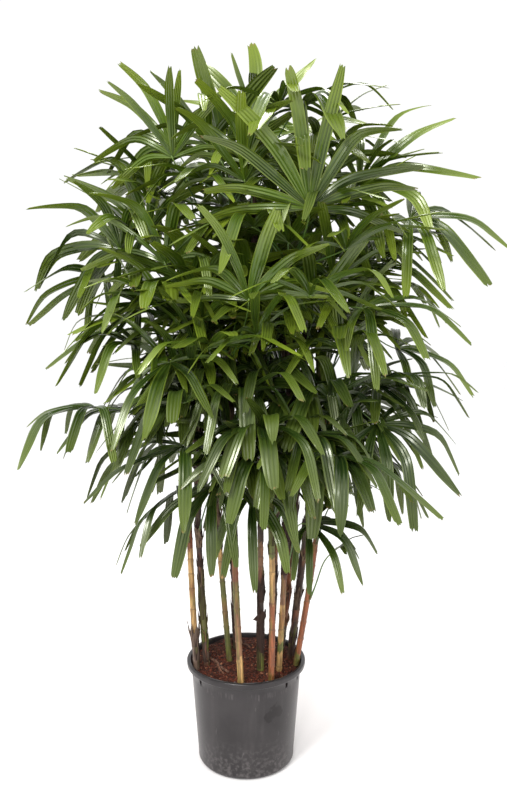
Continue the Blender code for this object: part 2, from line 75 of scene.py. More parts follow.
# The camera: it stands two metres in front of the pot, level with the middle of the crown, and looks slightly
# down. Its lens and height are what make the pot's lip and foot as wide and as open as they are seen.
CAMERA_PLACE = (0.0208, -2.148, 1.299)
CAMERA_TILT = 82.42
CAMERA_LENS = 36.4
CAMERA_SENSOR = 36.0
camera_lens = bpy.data.cameras.new("camera")
camera_lens.lens = CAMERA_LENS
camera_lens.sensor_width = CAMERA_SENSOR
camera = bpy.data.objects.new("camera", camera_lens)
camera.location = CAMERA_PLACE
camera.rotation_euler = (math.radians(CAMERA_TILT), 0.0, 0.0)
bpy.context.scene.collection.objects.link(camera)
bpy.context.scene.camera = camera
bpy.context.scene.view_settings.view_transform = "Standard"


# The studio: a pale seamless paper floor under white light, with the main light high on the left in front of
# the plant. The paper is a little warm round the pot. Farther off it is painted whiter: painted light, which
# makes up for the weaker light of the lamps out there.
FLOOR_RADIUS = 14.0
FLOOR_STEPS = 96
WARM_WHITE = (0.95, 0.905, 0.890, 1.0)
PALE_WHITE = (0.95, 0.94, 0.935, 1.0)
# The white painted on the far paper, as painted light where the lamps reach less.
FAR_PAINTED_LIGHT_WHITE = (0.985, 0.985, 0.985, 1.0)
FAR_FROM = 0.6
FAR_TO = 2.2
ROOM_WHITE = (1.0, 1.0, 1.0, 1.0)
ROOM_STRENGTH = 1.03


class Shade:
    """A socket of a node tree, so that sums on it are written as plain arithmetic."""

    def __init__(self, tree, socket=None):
        self.tree = tree
        self.socket = socket

    def node(self, kind, settings=None, inputs=None, output=0):
        """An output of a new node, whose settings are made before its inputs are filled or linked."""
        made = self.tree.nodes.new(kind)
        for name, value in (settings or {}).items():
            setattr(made, name, value)
        for name, value in (inputs or {}).items():
            if isinstance(value, Shade):
                self.tree.links.new(value.socket, made.inputs[name])
            else:
                made.inputs[name].default_value = value
        return Shade(self.tree, made.outputs[output])

    def reckon(self, operation, first, second=0.0):
        """A sum of two values."""
        return self.node("ShaderNodeMath", {"operation": operation}, {0: first, 1: second})

    def __add__(self, other):
        return self.reckon("ADD", self, other)

    __radd__ = __add__

    def __mul__(self, other):
        return self.reckon("MULTIPLY", self, other)

    __rmul__ = __mul__

    def __sub__(self, other):
        return self.reckon("SUBTRACT", self, other)

    def __rsub__(self, other):
        return self.reckon("SUBTRACT", other, self)

    def between(self, low, high):
        """0 below low, 1 above high, and a smooth step from one to the other."""
        settings = {"interpolation_type": "SMOOTHSTEP"}
        inputs = {"Value": self, "From Min": low, "From Max": high}
        return self.node("ShaderNodeMapRange", settings, inputs)

    def blend(self, low, high):
        """The colour that goes from low to high as this value goes from 0 to 1."""
        settings = {"data_type": "RGBA"}
        return self.node("ShaderNodeMix", settings, {0: self, 6: low, 7: high}, 2)

    def named(self, name, output="Fac"):
        """A value or colour that the piece's own mesh holds."""
        return self.node("ShaderNodeAttribute", {"attribute_name": name}, None, output)

    def spots(self, scale, detail=3.0, stretch=(1.0, 1.0, 1.0), roughness=0.55):
        """Noise on the piece's own coordinates, drawn out along the axes with a small stretch."""
        place = self.node("ShaderNodeTexCoord", None, None, "Object")
        place = self.node("ShaderNodeMapping", None, {"Vector": place, "Scale": stretch})
        inputs = {"Vector": place, "Scale": scale, "Detail": detail, "Roughness": roughness}
        return self.node("ShaderNodeTexNoise", None, inputs)

    def raised(self, height, distance, strength):
        """A bump that follows a height."""
        inputs = {"Height": height, "Distance": distance, "Strength": strength}
        return self.node("ShaderNodeBump", None, inputs)


def new_finish(name, constants):
    """A material, the start for its sums, and its shader, which gets what is the same all over."""
    material = bpy.data.materials.new(name)
    material.use_nodes = True
    shader = material.node_tree.nodes["Principled BSDF"]
    for socket, value in constants.items():
        shader.inputs[socket].default_value = value
    return material, Shade(material.node_tree), shader


def feed(shader, **links):
    """Links colours and values to the shader's sockets, whose names are given with _ for a space."""
    for socket, value in links.items():
        value.tree.links.new(value.socket, shader.inputs[socket.replace("_", " ")])


def new_piece(name, points, faces, material, slot_name):
    """A smooth mesh piece of the plant with one material, which rides with it. The slot name is not used."""
    mesh = bpy.data.meshes.new(name)
    mesh.from_pydata(points, [], faces)
    mesh.materials.append(material)
    mesh.shade_smooth()
    piece = bpy.data.objects.new(name, mesh)
    bpy.context.scene.collection.objects.link(piece)
    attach(piece, "root")
    return piece


floor_finish, shade, shader = new_finish("floor_white", {"Roughness": 0.55})
warmth = shade.spots(0.6, 2.0).between(0.3, 0.7)
floor_place = shade.node("ShaderNodeTexCoord", None, None, "Object")
from_pot = shade.node("ShaderNodeVectorMath", {"operation": "LENGTH"}, {0: floor_place}, "Value")
paper = warmth.blend(WARM_WHITE, PALE_WHITE)
# Farther from the pot the paper is painted whiter: painted light for the weaker lamp light there.
feed(shader, Base_Color=from_pot.between(FAR_FROM, FAR_TO).blend(paper, FAR_PAINTED_LIGHT_WHITE))
turns = [math.tau * step / FLOOR_STEPS for step in range(FLOOR_STEPS)]
rim = [(FLOOR_RADIUS * math.cos(turn), FLOOR_RADIUS * math.sin(turn), 0.0) for turn in turns]
floor_mesh = bpy.data.meshes.new("floor")
floor_mesh.from_pydata(rim, [], [tuple(range(FLOOR_STEPS))])
floor_mesh.materials.append(floor_finish)
floor = bpy.data.objects.new("floor", floor_mesh)
bpy.context.scene.collection.objects.link(floor)

world = bpy.data.worlds.new("room")
bpy.context.scene.world = world
world.use_nodes = True
room_light = world.node_tree.nodes["Background"]
room_light.inputs["Color"].default_value = ROOM_WHITE
room_light.inputs["Strength"].default_value = ROOM_STRENGTH


def add_light(name, place, height_lit, size, watts):
    """A square soft light that faces the plant at some height."""
    lamp = bpy.data.lights.new(name, "AREA")
    lamp.size = size
    lamp.energy = watts
    light = bpy.data.objects.new(name, lamp)
    light.location = place
    way = Vector((0.0, 0.0, height_lit)) - Vector(place)
    light.rotation_euler = way.to_track_quat("-Z", "Y").to_euler()
    bpy.context.scene.collection.objects.link(light)


add_light("main_light", (-1.3, -2.3, 3.3), 1.1, 0.8, 96.0)
add_light("front_light", (-0.45, -2.75, 1.95), 0.9, 0.45, 28.0)
add_light("fill_light", (2.2, -2.0, 1.8), 1.0, 1.2, 12.0)
add_light("top_light", (0.2, 0.9, 3.6), 1.2, 1.0, 45.0)


# The pot: one moulding of dark grey plastic, thin walled, with a rolled lip, a rounded foot and slots under
# the lip for a hanger. It carries scuffs and dust from the nursery, and a damp mark right of its front.
POT_HEIGHT = 0.290
LIP_RADIUS = 0.165
NECK_RADIUS = 0.152
NECK_HEIGHT = 0.267
NECK_STEP = 0.0035
FOOT_RADIUS = 0.1335
FOOT_ROUND = 0.016
FOOT_BEND = 0.0145
BASE_RADIUS = 0.118
BASE_THICK = 0.0035
WALL = 0.003
WALL_HEIGHTS = (0.03, 0.07, 0.11, 0.15, 0.19, 0.23, 0.247)
INNER_HEIGHTS = (0.272, 0.25, 0.15, 0.05, 0.02)
POT_STEPS = 160
DAMP_MARK = (0.072, -0.128, 0.191)
POT_SHEEN = (1.0, 0.95, 0.96, 1.0)

# The slots: their turns round the pot, counted from the side that is seen, and their size.
SLOT_TURNS = (-74.0, -53.0, 46.0, 68.0, 107.0, 135.0, 218.0, 246.0)
SLOT_HEIGHT = 0.2585
SLOT_DEEP = 0.020
SLOT_TALL = 0.013
SLOT_WIDE = 0.0070
SLOT_EDGE = 0.0014


def wall_radius(height):
    """The outer radius of the pot's straight wall."""
    share = (height - FOOT_ROUND) / (NECK_HEIGHT - FOOT_ROUND)
    return FOOT_RADIUS + (NECK_RADIUS - FOOT_RADIUS) * share


def arc(centre, radius, start, end, steps):
    """Points of (radius, height) on an arc, its angles counted from straight outwards to upwards."""
    turns = [math.radians(start + (end - start) * step / steps) for step in range(steps + 1)]
    return [(centre[0] + radius * math.cos(turn), centre[1] + radius * math.sin(turn)) for turn in turns]


def lathe(outline, steps):
    """Points and faces of a closed surface turned about Z. Its outline starts and ends on the axis."""
    points = [(0.0, 0.0, outline[0][1])]
    for radius, height in outline[1:-1]:
        for step in range(steps):
            turn = math.tau * step / steps
            points.append((radius * math.cos(turn), radius * math.sin(turn), height))
    points.append((0.0, 0.0, outline[-1][1]))
    faces = []
    rings = len(outline) - 2
    for step in range(steps):
        after = (step + 1) % steps
        faces.append((0, 1 + after, 1 + step))
        for ring in range(rings - 1):
            first = 1 + ring * steps
            faces.append((first + step, first + after, first + steps + after, first + steps + step))
        first = 1 + (rings - 1) * steps
        faces.append((first + step, first + after, len(points) - 1))
    return points, faces


def make_plain(piece, finish):
    """Gives a piece the mesh that its modifiers make, and drops the modifiers."""
    bpy.context.view_layer.update()
    evaluated = piece.evaluated_get(bpy.context.evaluated_depsgraph_get())
    plain = bpy.data.meshes.new_from_object(evaluated)
    piece.modifiers.clear()
    piece.data = plain
    plain.materials.clear()
    plain.materials.append(finish)


pot_outline = [(0.0, 0.0), (0.060, 0.0), (BASE_RADIUS, 0.0)]
pot_outline += arc((FOOT_RADIUS - 0.0140, FOOT_BEND), FOOT_BEND, -88.0, 4.0, 8)
pot_outline += [(wall_radius(height), height) for height in WALL_HEIGHTS]
pot_outline += [(NECK_RADIUS, NECK_HEIGHT), (NECK_RADIUS + NECK_STEP, NECK_HEIGHT + NECK_STEP)]
pot_outline += arc((LIP_RADIUS - 0.0060, POT_HEIGHT - 0.0125), 0.0055, -75.0, 0.0, 4)
pot_outline += arc((LIP_RADIUS - 0.0050, POT_HEIGHT - 0.0050), 0.0050, 0.0, 90.0, 6)
pot_outline += arc((LIP_RADIUS - 0.0080, POT_HEIGHT - 0.0030), 0.0030, 90.0, 180.0, 4)
pot_outline += [(wall_radius(height) - WALL, height) for height in INNER_HEIGHTS]
pot_outline += [(BASE_RADIUS, BASE_THICK), (0.0, BASE_THICK)]

pot_constants = {"Specular IOR Level": 0.40, "Specular Tint": POT_SHEEN}
pot_finish, shade, shader = new_finish("pot_grey_plastic", pot_constants)
speckle = shade.spots(420.0, 2.0)
patches = shade.spots(9.0, 4.0).between(0.35, 0.75)
streaks = shade.spots(26.0, 4.0, (1.0, 1.0, 0.16)).between(0.50, 0.74)
scuffs = shade.spots(95.0, 3.0, (1.0, 1.0, 0.35)).between(0.66, 0.72)
place = shade.node("ShaderNodeTexCoord", None, None, "Object")
height = shade.node("ShaderNodeSeparateXYZ", None, {0: place}, "Z")
away = shade.node("ShaderNodeVectorMath", {"operation": "DISTANCE"}, {0: place, 1: DAMP_MARK}, "Value")
damp = 1.0 - (away + shade.spots(38.0, 2.0) * 0.070).between(0.055, 0.062)
low_dust = (1.0 - height.between(0.01, 0.13)) * shade.spots(90.0, 5.0).between(0.42, 0.72)
under_lip = height.between(0.234, 0.242) * (1.0 - height.between(0.250, 0.258))
ticks = shade.spots(230.0, 1.0, (1.0, 1.0, 0.03)).between(0.58, 0.64) * under_lip
dust = (low_dust * 0.55 + streaks * 0.10 + scuffs * 0.25 + ticks * 0.22) * (1.0 - damp)
plastic = patches.blend((0.015, 0.0135, 0.014, 1.0), (0.026, 0.0235, 0.024, 1.0))
plastic = damp.blend(plastic, (0.007, 0.006, 0.006, 1.0))
plastic = dust.blend(plastic, (0.138, 0.125, 0.124, 1.0))
grain = shade.raised(speckle, 0.0004, 0.4)
feed(shader, Base_Color=plastic, Normal=grain, Roughness=0.29 + patches * 0.10 + dust * 0.25)

pot = new_piece("pot_dressed", *lathe(pot_outline, POT_STEPS), pot_finish, "pot_plastic")
cutters = bpy.data.collections.new("slot_cutters")
for turn in SLOT_TURNS:
    round_pot = Matrix.Rotation(math.radians(turn - 90.0), 3, "Z")
    block = bmesh.new()
    bmesh.ops.create_cube(block, size=1.0)
    bmesh.ops.scale(block, vec=(SLOT_DEEP, SLOT_WIDE, SLOT_TALL), verts=block.verts)
    bmesh.ops.bevel(block, geom=block.edges, offset=SLOT_EDGE, segments=2, affect="EDGES")
    bmesh.ops.translate(block, vec=(wall_radius(SLOT_HEIGHT), 0.0, SLOT_HEIGHT), verts=block.verts)
    bmesh.ops.rotate(block, matrix=round_pot, verts=block.verts)
    cutter_mesh = bpy.data.meshes.new("slot_cutter")
    block.to_mesh(cutter_mesh)
    block.free()
    cutters.objects.link(bpy.data.objects.new("slot_cutter", cutter_mesh))
cut = pot.modifiers.new("slots", "BOOLEAN")
cut.operation = "DIFFERENCE"
cut.operand_type = "COLLECTION"
cut.collection = cutters
cut.solver = "EXACT"
make_plain(pot, pot_finish)
for cutter in list(cutters.objects):
    bpy.data.objects.remove(cutter, do_unlink=True)
bpy.data.collections.remove(cutters)
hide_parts("pot")


# The compost: coarse reddish bark that fills the pot to just under its lip, heaped a little in the middle and
# higher at the back. Loose chips and a few white grains of perlite lie on it as they fell.
COMPOST_TOP = 0.272
COMPOST_RADIUS = 0.1468
COMPOST_RINGS = 34
COMPOST_STEPS = 110
HEAP_SPAN = 0.145
HEAP_MIDDLE = 0.010
HEAP_FALL = 0.005
HEAP_BACK = 0.007
CHIPS = 4200
CHIP_KINDS = 6
CHIP_SIZES = (0.22, 0.85)
CHIP_REACH = 0.1345
GROUND_AREA = 0.066
GRAINS = 60
GRAIN_KINDS = 3
GRAIN_SIZES = (0.12, 0.26)


def compost_height(x, y):
    """The rough surface of the compost."""
    heap = HEAP_MIDDLE - HEAP_FALL * (math.hypot(x, y) / HEAP_SPAN) ** 3 + HEAP_BACK * y / HEAP_SPAN
    coarse = 0.0045 * noise.noise(Vector((x * 30.0, y * 30.0, 0.4)))
    fine = 0.0030 * noise.noise(Vector((x * 110.0, y * 110.0, 2.7)))
    return COMPOST_TOP - 0.001 + heap + coarse + fine


compost_outline = [(0.0, 0.006), (0.112, 0.006), (0.128, 0.030), (0.1455, COMPOST_TOP - 0.022)]
for ring in range(COMPOST_RINGS + 1):
    compost_outline.append((COMPOST_RADIUS * (1.0 - ring / COMPOST_RINGS), COMPOST_TOP))
compost_points, compost_faces = lathe(compost_outline, COMPOST_STEPS)
compost_points = [
    (x, y, compost_height(x, y)) if z > COMPOST_TOP - 0.001 else (x, y, z) for x, y, z in compost_points
]
compost_finish, shade, shader = new_finish("bark_compost", {"Specular IOR Level": 0.25})
crumbs = shade.spots(240.0, 5.0)
clods = shade.spots(55.0, 3.0).between(0.35, 0.7)
earth = clods.blend((0.012, 0.004, 0.002, 1.0), (0.090, 0.021, 0.010, 1.0))
earth = crumbs.between(0.56, 0.70).blend(earth, (0.160, 0.048, 0.026, 1.0))
feed(shader, Base_Color=earth, Roughness=0.72 + crumbs * 0.3, Normal=shade.raised(crumbs, 0.004, 0.9))
compost = new_piece("compost_dressed", compost_points, compost_faces, compost_finish, "compost")
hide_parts("compost")

chip_finish, shade, shader = new_finish("bark_chip", {"Specular IOR Level": 0.3})
tone = shade.named("tone")
bark = tone.between(0.0, 0.7).blend((0.018, 0.005, 0.003, 1.0), (0.150, 0.031, 0.013, 1.0))
bark = tone.between(0.90, 0.99).blend(bark, (0.400, 0.180, 0.095, 1.0))
rind = shade.spots(160.0, 4.0)
feed(shader, Base_Color=rind.between(0.30, 0.62).blend((0.028, 0.012, 0.007, 1.0), bark))
feed(shader, Roughness=0.66 + rind * 0.3, Normal=shade.raised(rind, 0.0016, 0.7))


def chip_shape(seed):
    """A splinter of bark: a flattened slab with broken ends."""
    chance = random.Random(seed)
    slab = bmesh.new()
    bmesh.ops.create_icosphere(slab, subdivisions=1, radius=0.5)
    long_side = chance.uniform(0.010, 0.019)
    for corner in slab.verts:
        corner.co += 0.16 * Vector([chance.uniform(-1.0, 1.0) for _ in range(3)])
        corner.co.x *= long_side
        corner.co.y *= long_side * chance.uniform(0.40, 0.62)
        corner.co.z *= long_side * 0.24
    mesh = bpy.data.meshes.new("chip_shape")
    slab.to_mesh(mesh)
    slab.free()
    return bpy.data.objects.new("chip_shape", mesh)


SCATTER_INPUTS = (
    ("Geometry", "NodeSocketGeometry"),
    ("Strewn", "NodeSocketCollection"),
    ("Per square metre", "NodeSocketFloat"),
    ("Smallest", "NodeSocketFloat"),
    ("Largest", "NodeSocketFloat"),
    ("Tilt", "NodeSocketFloat"),
    ("Seed", "NodeSocketInt"),
)
TURN_SEED = 11
SIZE_SEED = 23


def scatter_tree(name, finish):
    """A tree that strews the objects of a collection over a mesh and gives each one a tone of its own."""
    tree = bpy.data.node_groups.new(name, "GeometryNodeTree")
    for label, socket_type in SCATTER_INPUTS:
        tree.interface.new_socket(label, in_out="INPUT", socket_type=socket_type)
    tree.interface.new_socket("Geometry", in_out="OUTPUT", socket_type="NodeSocketGeometry")
    group = tree.nodes.new("NodeGroupInput")
    given = {label: Shade(tree, group.outputs[label]) for label, _ in SCATTER_INPUTS}
    grow = Shade(tree).node
    a_value = {"data_type": "FLOAT"}
    inputs = {"Mesh": given["Geometry"], "Density": given["Per square metre"], "Seed": given["Seed"]}
    places = grow("GeometryNodeDistributePointsOnFaces", {"distribute_method": "RANDOM"}, inputs)
    tone = grow("FunctionNodeRandomValue", a_value, {"Seed": given["Seed"]}, 1)
    inputs = {"Geometry": places, "Name": "tone", "Value": tone}
    places = grow("GeometryNodeStoreNamedAttribute", {"data_type": "FLOAT", "domain": "POINT"}, inputs)
    inputs = {"Collection": given["Strewn"], "Separate Children": True, "Reset Children": True}
    parts = grow("GeometryNodeCollectionInfo", None, inputs)
    tilt = given["Tilt"]
    back = tilt * -1.0
    low = grow("ShaderNodeCombineXYZ", None, {"X": back, "Y": back, "Z": 0.0})
    high = grow("ShaderNodeCombineXYZ", None, {"X": tilt, "Y": tilt, "Z": math.tau})
    inputs = {0: low, 1: high, "Seed": TURN_SEED}
    turn = grow("FunctionNodeRandomValue", {"data_type": "FLOAT_VECTOR"}, inputs)
    inputs = {2: given["Smallest"], 3: given["Largest"], "Seed": SIZE_SEED}
    size = grow("FunctionNodeRandomValue", a_value, inputs, 1)
    inputs = {"Points": places, "Instance": parts, "Pick Instance": True, "Rotation": turn, "Scale": size}
    placed = grow("GeometryNodeInstanceOnPoints", None, inputs)
    real = grow("GeometryNodeRealizeInstances", None, {"Geometry": placed})
    done = grow("GeometryNodeSetMaterial", None, {"Geometry": real, "Material": finish})
    result = tree.nodes.new("NodeGroupOutput")
    tree.links.new(done.socket, result.inputs[0])
    return tree


def strewn_piece(name, slot_name, ground, finish, **values):
    """The plain mesh that a scatter tree makes of a ground mesh. Its inputs are given with _ for a space."""
    carrier = bpy.data.objects.new(name, ground)
    bpy.context.scene.collection.objects.link(carrier)
    grower = carrier.modifiers.new("grower", "NODES")
    grower.node_group = scatter_tree(name, finish)
    for socket in grower.node_group.interface.items_tree:
        label = socket.name.replace(" ", "_")
        if label in values:
            grower[socket.identifier] = values[label]
    make_plain(carrier, finish)
    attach(carrier, "root")


chip_kinds = bpy.data.collections.new("chip_kinds")
for kind in range(CHIP_KINDS):
    chip_kinds.objects.link(chip_shape(40 + kind))
chip_ground = bpy.data.meshes.new("chip_ground")
surface = bmesh.new()
surface.from_mesh(compost.data)
middles = [(face, face.calc_center_median()) for face in surface.faces]
outside = [face for face, middle in middles if middle.xy.length > CHIP_REACH or middle.z < 0.5 * COMPOST_TOP]
bmesh.ops.delete(surface, geom=outside, context="FACES")
surface.to_mesh(chip_ground)
surface.free()
strewn_piece(
    "bark_chips",
    "compost",
    chip_ground,
    chip_finish,
    Strewn=chip_kinds,
    Per_square_metre=CHIPS / GROUND_AREA,
    Smallest=CHIP_SIZES[0],
    Largest=CHIP_SIZES[1],
    Tilt=0.55,
    Seed=5,
)

perlite_finish, shade, shader = new_finish("perlite_white", {"Roughness": 0.9})
dusty = shade.spots(300.0).between(0.3, 0.7)
feed(shader, Base_Color=dusty.blend((0.45, 0.42, 0.38, 1.0), (0.80, 0.79, 0.76, 1.0)))
grain_kinds = bpy.data.collections.new("grain_kinds")
for kind in range(GRAIN_KINDS):
    grain_kinds.objects.link(chip_shape(70 + kind))
strewn_piece(
    "perlite_grains",
    "compost",
    chip_ground,
    perlite_finish,
    Strewn=grain_kinds,
    Per_square_metre=GRAINS / GROUND_AREA,
    Smallest=GRAIN_SIZES[0],
    Largest=GRAIN_SIZES[1],
    Tilt=0.8,
    Seed=9,
)


# The canes: a dozen thin bamboo-like stems, each with rings where its old leaves stood. Some stretches are
# bare and straw, green or rusty, and the rest is wrapped in the dark matted sheaths of leaves that have gone.
CANE_TAPER = 0.78
CANE_BOW = 0.012
CANE_DEPTH = 0.014
CANE_STEPS = 14
CANE_RISE = 0.0045
FIRST_RING = (0.01, 0.03)
RING_STEP = (0.024, 0.062)
KNUCKLE_SWELL = 0.0011
KNUCKLE_TALL = 0.0042
SCAR_DEEP = 0.0005
SCAR_TALL = 0.0026
SCAR_ABOVE = 0.0045
BARE_ROUGH = 0.0003
WRAP_THICK = 0.0009
WRAP_ROUGH = 0.0011

# By cane: its foot on the compost, its top with the height, and its radius at the foot.
CANES = (
    ((-0.135, -0.040), (-0.150, 0.000, 1.22), 0.0085),
    ((-0.108, -0.020), (-0.125, -0.050, 1.10), 0.0075),
    ((-0.045, -0.010), (-0.110, 0.040, 1.42), 0.0080),
    ((-0.030, 0.070), (-0.040, 0.090, 1.48), 0.0070),
    ((-0.012, -0.130), (-0.040, -0.120, 1.08), 0.0085),
    ((0.040, -0.060), (0.020, -0.030, 1.50), 0.0080),
    ((0.068, -0.115), (0.060, -0.130, 0.86), 0.0085),
    ((0.070, 0.065), (0.100, 0.100, 1.42), 0.0075),
    ((0.090, -0.055), (0.110, -0.090, 1.30), 0.0080),
    ((0.098, 0.045), (0.170, 0.060, 1.36), 0.0085),
    ((0.122, 0.012), (0.200, -0.020, 1.22), 0.0085),
    ((0.138, -0.018), (0.215, -0.060, 1.00), 0.0085),
)
STRAW = (0.510, 0.320, 0.125)
GREEN = (0.120, 0.140, 0.030)
RUST = (0.245, 0.080, 0.032)
TAN = (0.235, 0.120, 0.060)
DARK = (0.036, 0.018, 0.013)
GREY = (0.130, 0.090, 0.070)

# By cane: the stretches from the foot upwards, each with its upper end. A bare one shows the cane's skin, a
# wrapped one has sheaths on it, and the last one goes on to the top.
TOP = 9.0
STRAW_BARE, GREEN_BARE, RUST_BARE, TAN_BARE = ((colour, True) for colour in (STRAW, GREEN, RUST, TAN))
GREEN_WRAP, RUST_WRAP, DARK_WRAP, GREY_WRAP = ((colour, False) for colour in (GREEN, RUST, DARK, GREY))
CANE_STRETCHES = (
    ((0.365, GREY_WRAP), (0.610, STRAW_BARE), (0.820, RUST_BARE), (TOP, GREEN_WRAP)),
    ((0.320, GREY_WRAP), (0.480, GREEN_WRAP), (TOP, DARK_WRAP)),
    ((0.520, GREEN_BARE), (0.600, STRAW_BARE), (TOP, DARK_WRAP)),
    ((TOP, DARK_WRAP),),
    ((0.345, STRAW_BARE), (0.470, TAN_BARE), (0.560, GREEN_BARE), (0.640, RUST_BARE), (TOP, DARK_WRAP)),
    ((0.320, GREEN_WRAP), (0.560, DARK_WRAP), (0.640, TAN_BARE), (TOP, DARK_WRAP)),
    ((0.500, RUST_BARE), (0.620, STRAW_BARE), (TOP, GREEN_WRAP)),
    ((0.480, DARK_WRAP), (0.600, TAN_BARE), (TOP, DARK_WRAP)),
    ((0.330, STRAW_BARE), (0.360, GREEN_BARE), (0.470, STRAW_BARE), (0.540, TAN_BARE), (TOP, DARK_WRAP)),
    ((0.360, DARK_WRAP), (0.540, RUST_WRAP), (TOP, DARK_WRAP)),
    ((0.800, DARK_WRAP), (TOP, GREEN_WRAP)),
    ((0.310, GREEN_BARE), (0.640, RUST_BARE), (0.700, GREEN_BARE), (TOP, STRAW_BARE)),
)


def cane_point(cane, height):
    """The cane's axis at a height: a straight lean with a slight outward bow."""
    foot, top, _ = CANES[cane]
    share = (height - COMPOST_TOP) / (top[2] - COMPOST_TOP)
    bow = CANE_BOW * math.sin(math.pi * min(max(share, 0.0), 1.0))
    outward = Vector((top[0], top[1], 0.0)).normalized()
    x = foot[0] + (top[0] - foot[0]) * share
    y = foot[1] + (top[1] - foot[1]) * share
    return Vector((x, y, height)) + outward * bow


def cane_radius(cane, height):
    """The cane's radius at a height, from its full size at the foot to the thinner top."""
    share = (height - COMPOST_TOP) / (CANES[cane][1][2] - COMPOST_TOP)
    return CANES[cane][2] * (1.0 - (1.0 - CANE_TAPER) * min(max(share, 0.0), 1.0))


def stretch_at(cane, height):
    """The colour of a cane at a height, and whether it is bare there."""
    return next(stretch for end, stretch in CANE_STRETCHES[cane] if height < end)


def skin_at(cane, height, turn):
    """The colour of one spot of a cane: stretches run into each other, and green and rust come through."""
    uneven = 0.018 * noise.noise(Vector((turn * 1.3, height * 30.0, cane * 5.3)))
    colour = Vector(stretch_at(cane, height + uneven)[0])
    green = noise.noise(Vector((math.cos(turn), height * 16.0, cane * 2.7)))
    rust = noise.noise(Vector((math.sin(turn), height * 13.0, cane * 4.1 + 9.0)))
    colour = colour.lerp(Vector(GREEN), min(max(green - 0.12, 0.0) * 1.6, 0.55))
    return colour.lerp(Vector(RUST), min(max(rust - 0.15, 0.0) * 1.6, 0.55))


def way_to(turn):
    """The level direction at a turn from +X towards +Y."""
    return Vector((math.cos(turn), math.sin(turn), 0.0))


def cane_rings(cane):
    """The heights of a cane's rings, at uneven distances."""
    chance = random.Random(600 + cane)
    heights = []
    height = COMPOST_TOP + chance.uniform(*FIRST_RING)
    while height < CANES[cane][1][2]:
        heights.append(height)
        height += chance.uniform(*RING_STEP)
    return heights


def tube_faces(first, rings, steps):
    """The faces of a closed tube, whose rings of points lie one after the other."""
    faces = []
    last = first + (rings - 1) * steps
    for low in range(first, last, steps):
        for step in range(steps):
            after = (step + 1) % steps
            faces.append((low + step, low + after, low + steps + after, low + steps + step))
    faces.append(tuple(reversed(range(first, first + steps))))
    faces.append(tuple(range(last, last + steps)))
    return faces


class Gathered:
    """The points and faces of one piece, with what its material reads at each point."""

    def __init__(self):
        self.points = []
        self.faces = []
        self.kept = {}

    def add(self, point, **values):
        """Adds a point with its values and colours."""
        self.points.append(point)
        for name, value in values.items():
            self.kept.setdefault(name, []).append(value)

    def piece(self, name, finish, slot_name):
        """The piece, whose mesh holds the values and colours under their names."""
        made = new_piece(name, self.points, self.faces, finish, slot_name)
        for label, values in self.kept.items():
            if isinstance(values[0], tuple):
                flat = [part for colour in values for part in colour]
                made.data.attributes.new(label, "FLOAT_COLOR", "POINT").data.foreach_set("color", flat)
            else:
                made.data.attributes.new(label, "FLOAT", "POINT").data.foreach_set("value", values)
        return made


cane_parts = Gathered()
for cane, (_, top, _) in enumerate(CANES):
    rings = cane_rings(cane)
    base = COMPOST_TOP - CANE_DEPTH
    levels = int((top[2] - base) / CANE_RISE)
    cane_parts.faces += tube_faces(len(cane_parts.points), levels + 1, CANE_STEPS)
    for level in range(levels + 1):
        height = base + (top[2] - base) * level / levels
        centre = cane_point(cane, height)
        radius = cane_radius(cane, height)
        nearest = min((abs(height - ring), ring) for ring in rings)[1]
        offset = height - nearest
        knuckle = math.exp(-((offset / KNUCKLE_TALL) ** 2))
        scar = math.exp(-(((offset - SCAR_ABOVE) / SCAR_TALL) ** 2))
        bare = stretch_at(cane, height)[1]
        for step in range(CANE_STEPS):
            turn = math.tau * step / CANE_STEPS
            way = way_to(turn)
            rough = noise.noise(centre * 9.0 + way * 1.4 + Vector((cane * 7.0, 0.0, 0.0)))
            stringy = noise.noise(Vector((turn * 3.0, height * 14.0, cane * 3.1)))
            swell = KNUCKLE_SWELL * knuckle - SCAR_DEEP * scar
            swell += BARE_ROUGH * rough if bare else WRAP_THICK + WRAP_ROUGH * stringy
            skin = (*skin_at(cane, height, turn), 1.0)
            cane_parts.add(centre + way * (radius + swell), skin=skin, scar=scar)

cane_finish, shade, shader = new_finish("cane_skin", {"Specular IOR Level": 0.4})
skin = shade.named("skin", "Color")
scar = shade.named("scar")
strings = shade.spots(240.0, 4.0, (1.0, 1.0, 0.07))
blotches = shade.spots(42.0, 4.0, (1.0, 1.0, 0.45)).between(0.38, 0.70)
rind = strings.between(0.34, 0.66).blend((0.36, 0.33, 0.30, 1.0), (1.18, 1.12, 1.05, 1.0))
darkened = {"data_type": "RGBA", "blend_type": "MULTIPLY"}
skin = shade.node("ShaderNodeMix", darkened, {0: 0.85, 6: skin, 7: rind}, 2)
skin = (blotches * 0.35).blend(skin, (0.090, 0.050, 0.026, 1.0))
skin = (scar.between(0.35, 0.95) * 0.55).blend(skin, (0.090, 0.055, 0.030, 1.0))
feed(shader, Base_Color=skin, Roughness=0.38 + strings * 0.3, Normal=shade.raised(strings, 0.0012, 0.6))
canes =cane_parts.piece("canes_dressed", cane_finish, "cane")
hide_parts(*[f"cane_{cane + 1:02d}" for cane in range(len(CANES))])


# The dry strips: torn pieces of old sheath. Three came away from the second cane and lie round its foot, one
# leans on the first cane, and two lie farther back.
STRIP_ROWS = 12
STRIP_COLUMNS = 4
STRIP_CURL = 0.0035
STRIP_HOLLOW = 0.7
UP = Vector((0.0, 0.0, 1.0))

# By strip: its two ends, with their heights above the compost, and its width.
STRIPS = (
    ((-0.098, -0.030, 0.020), (-0.048, -0.075, 0.003), 0.0110),
    ((-0.085, -0.045, 0.012), (-0.060, -0.085, 0.003), 0.0085),
    ((-0.100, -0.005, 0.045), (-0.070, 0.030, 0.004), 0.0070),
    ((-0.120, -0.035, 0.110), (-0.104, -0.030, 0.012), 0.0060),
    ((0.060, 0.020, 0.004), (0.095, 0.000, 0.008), 0.0070),
    ((0.010, 0.060, 0.003), (-0.020, 0.095, 0.006), 0.0080),
)


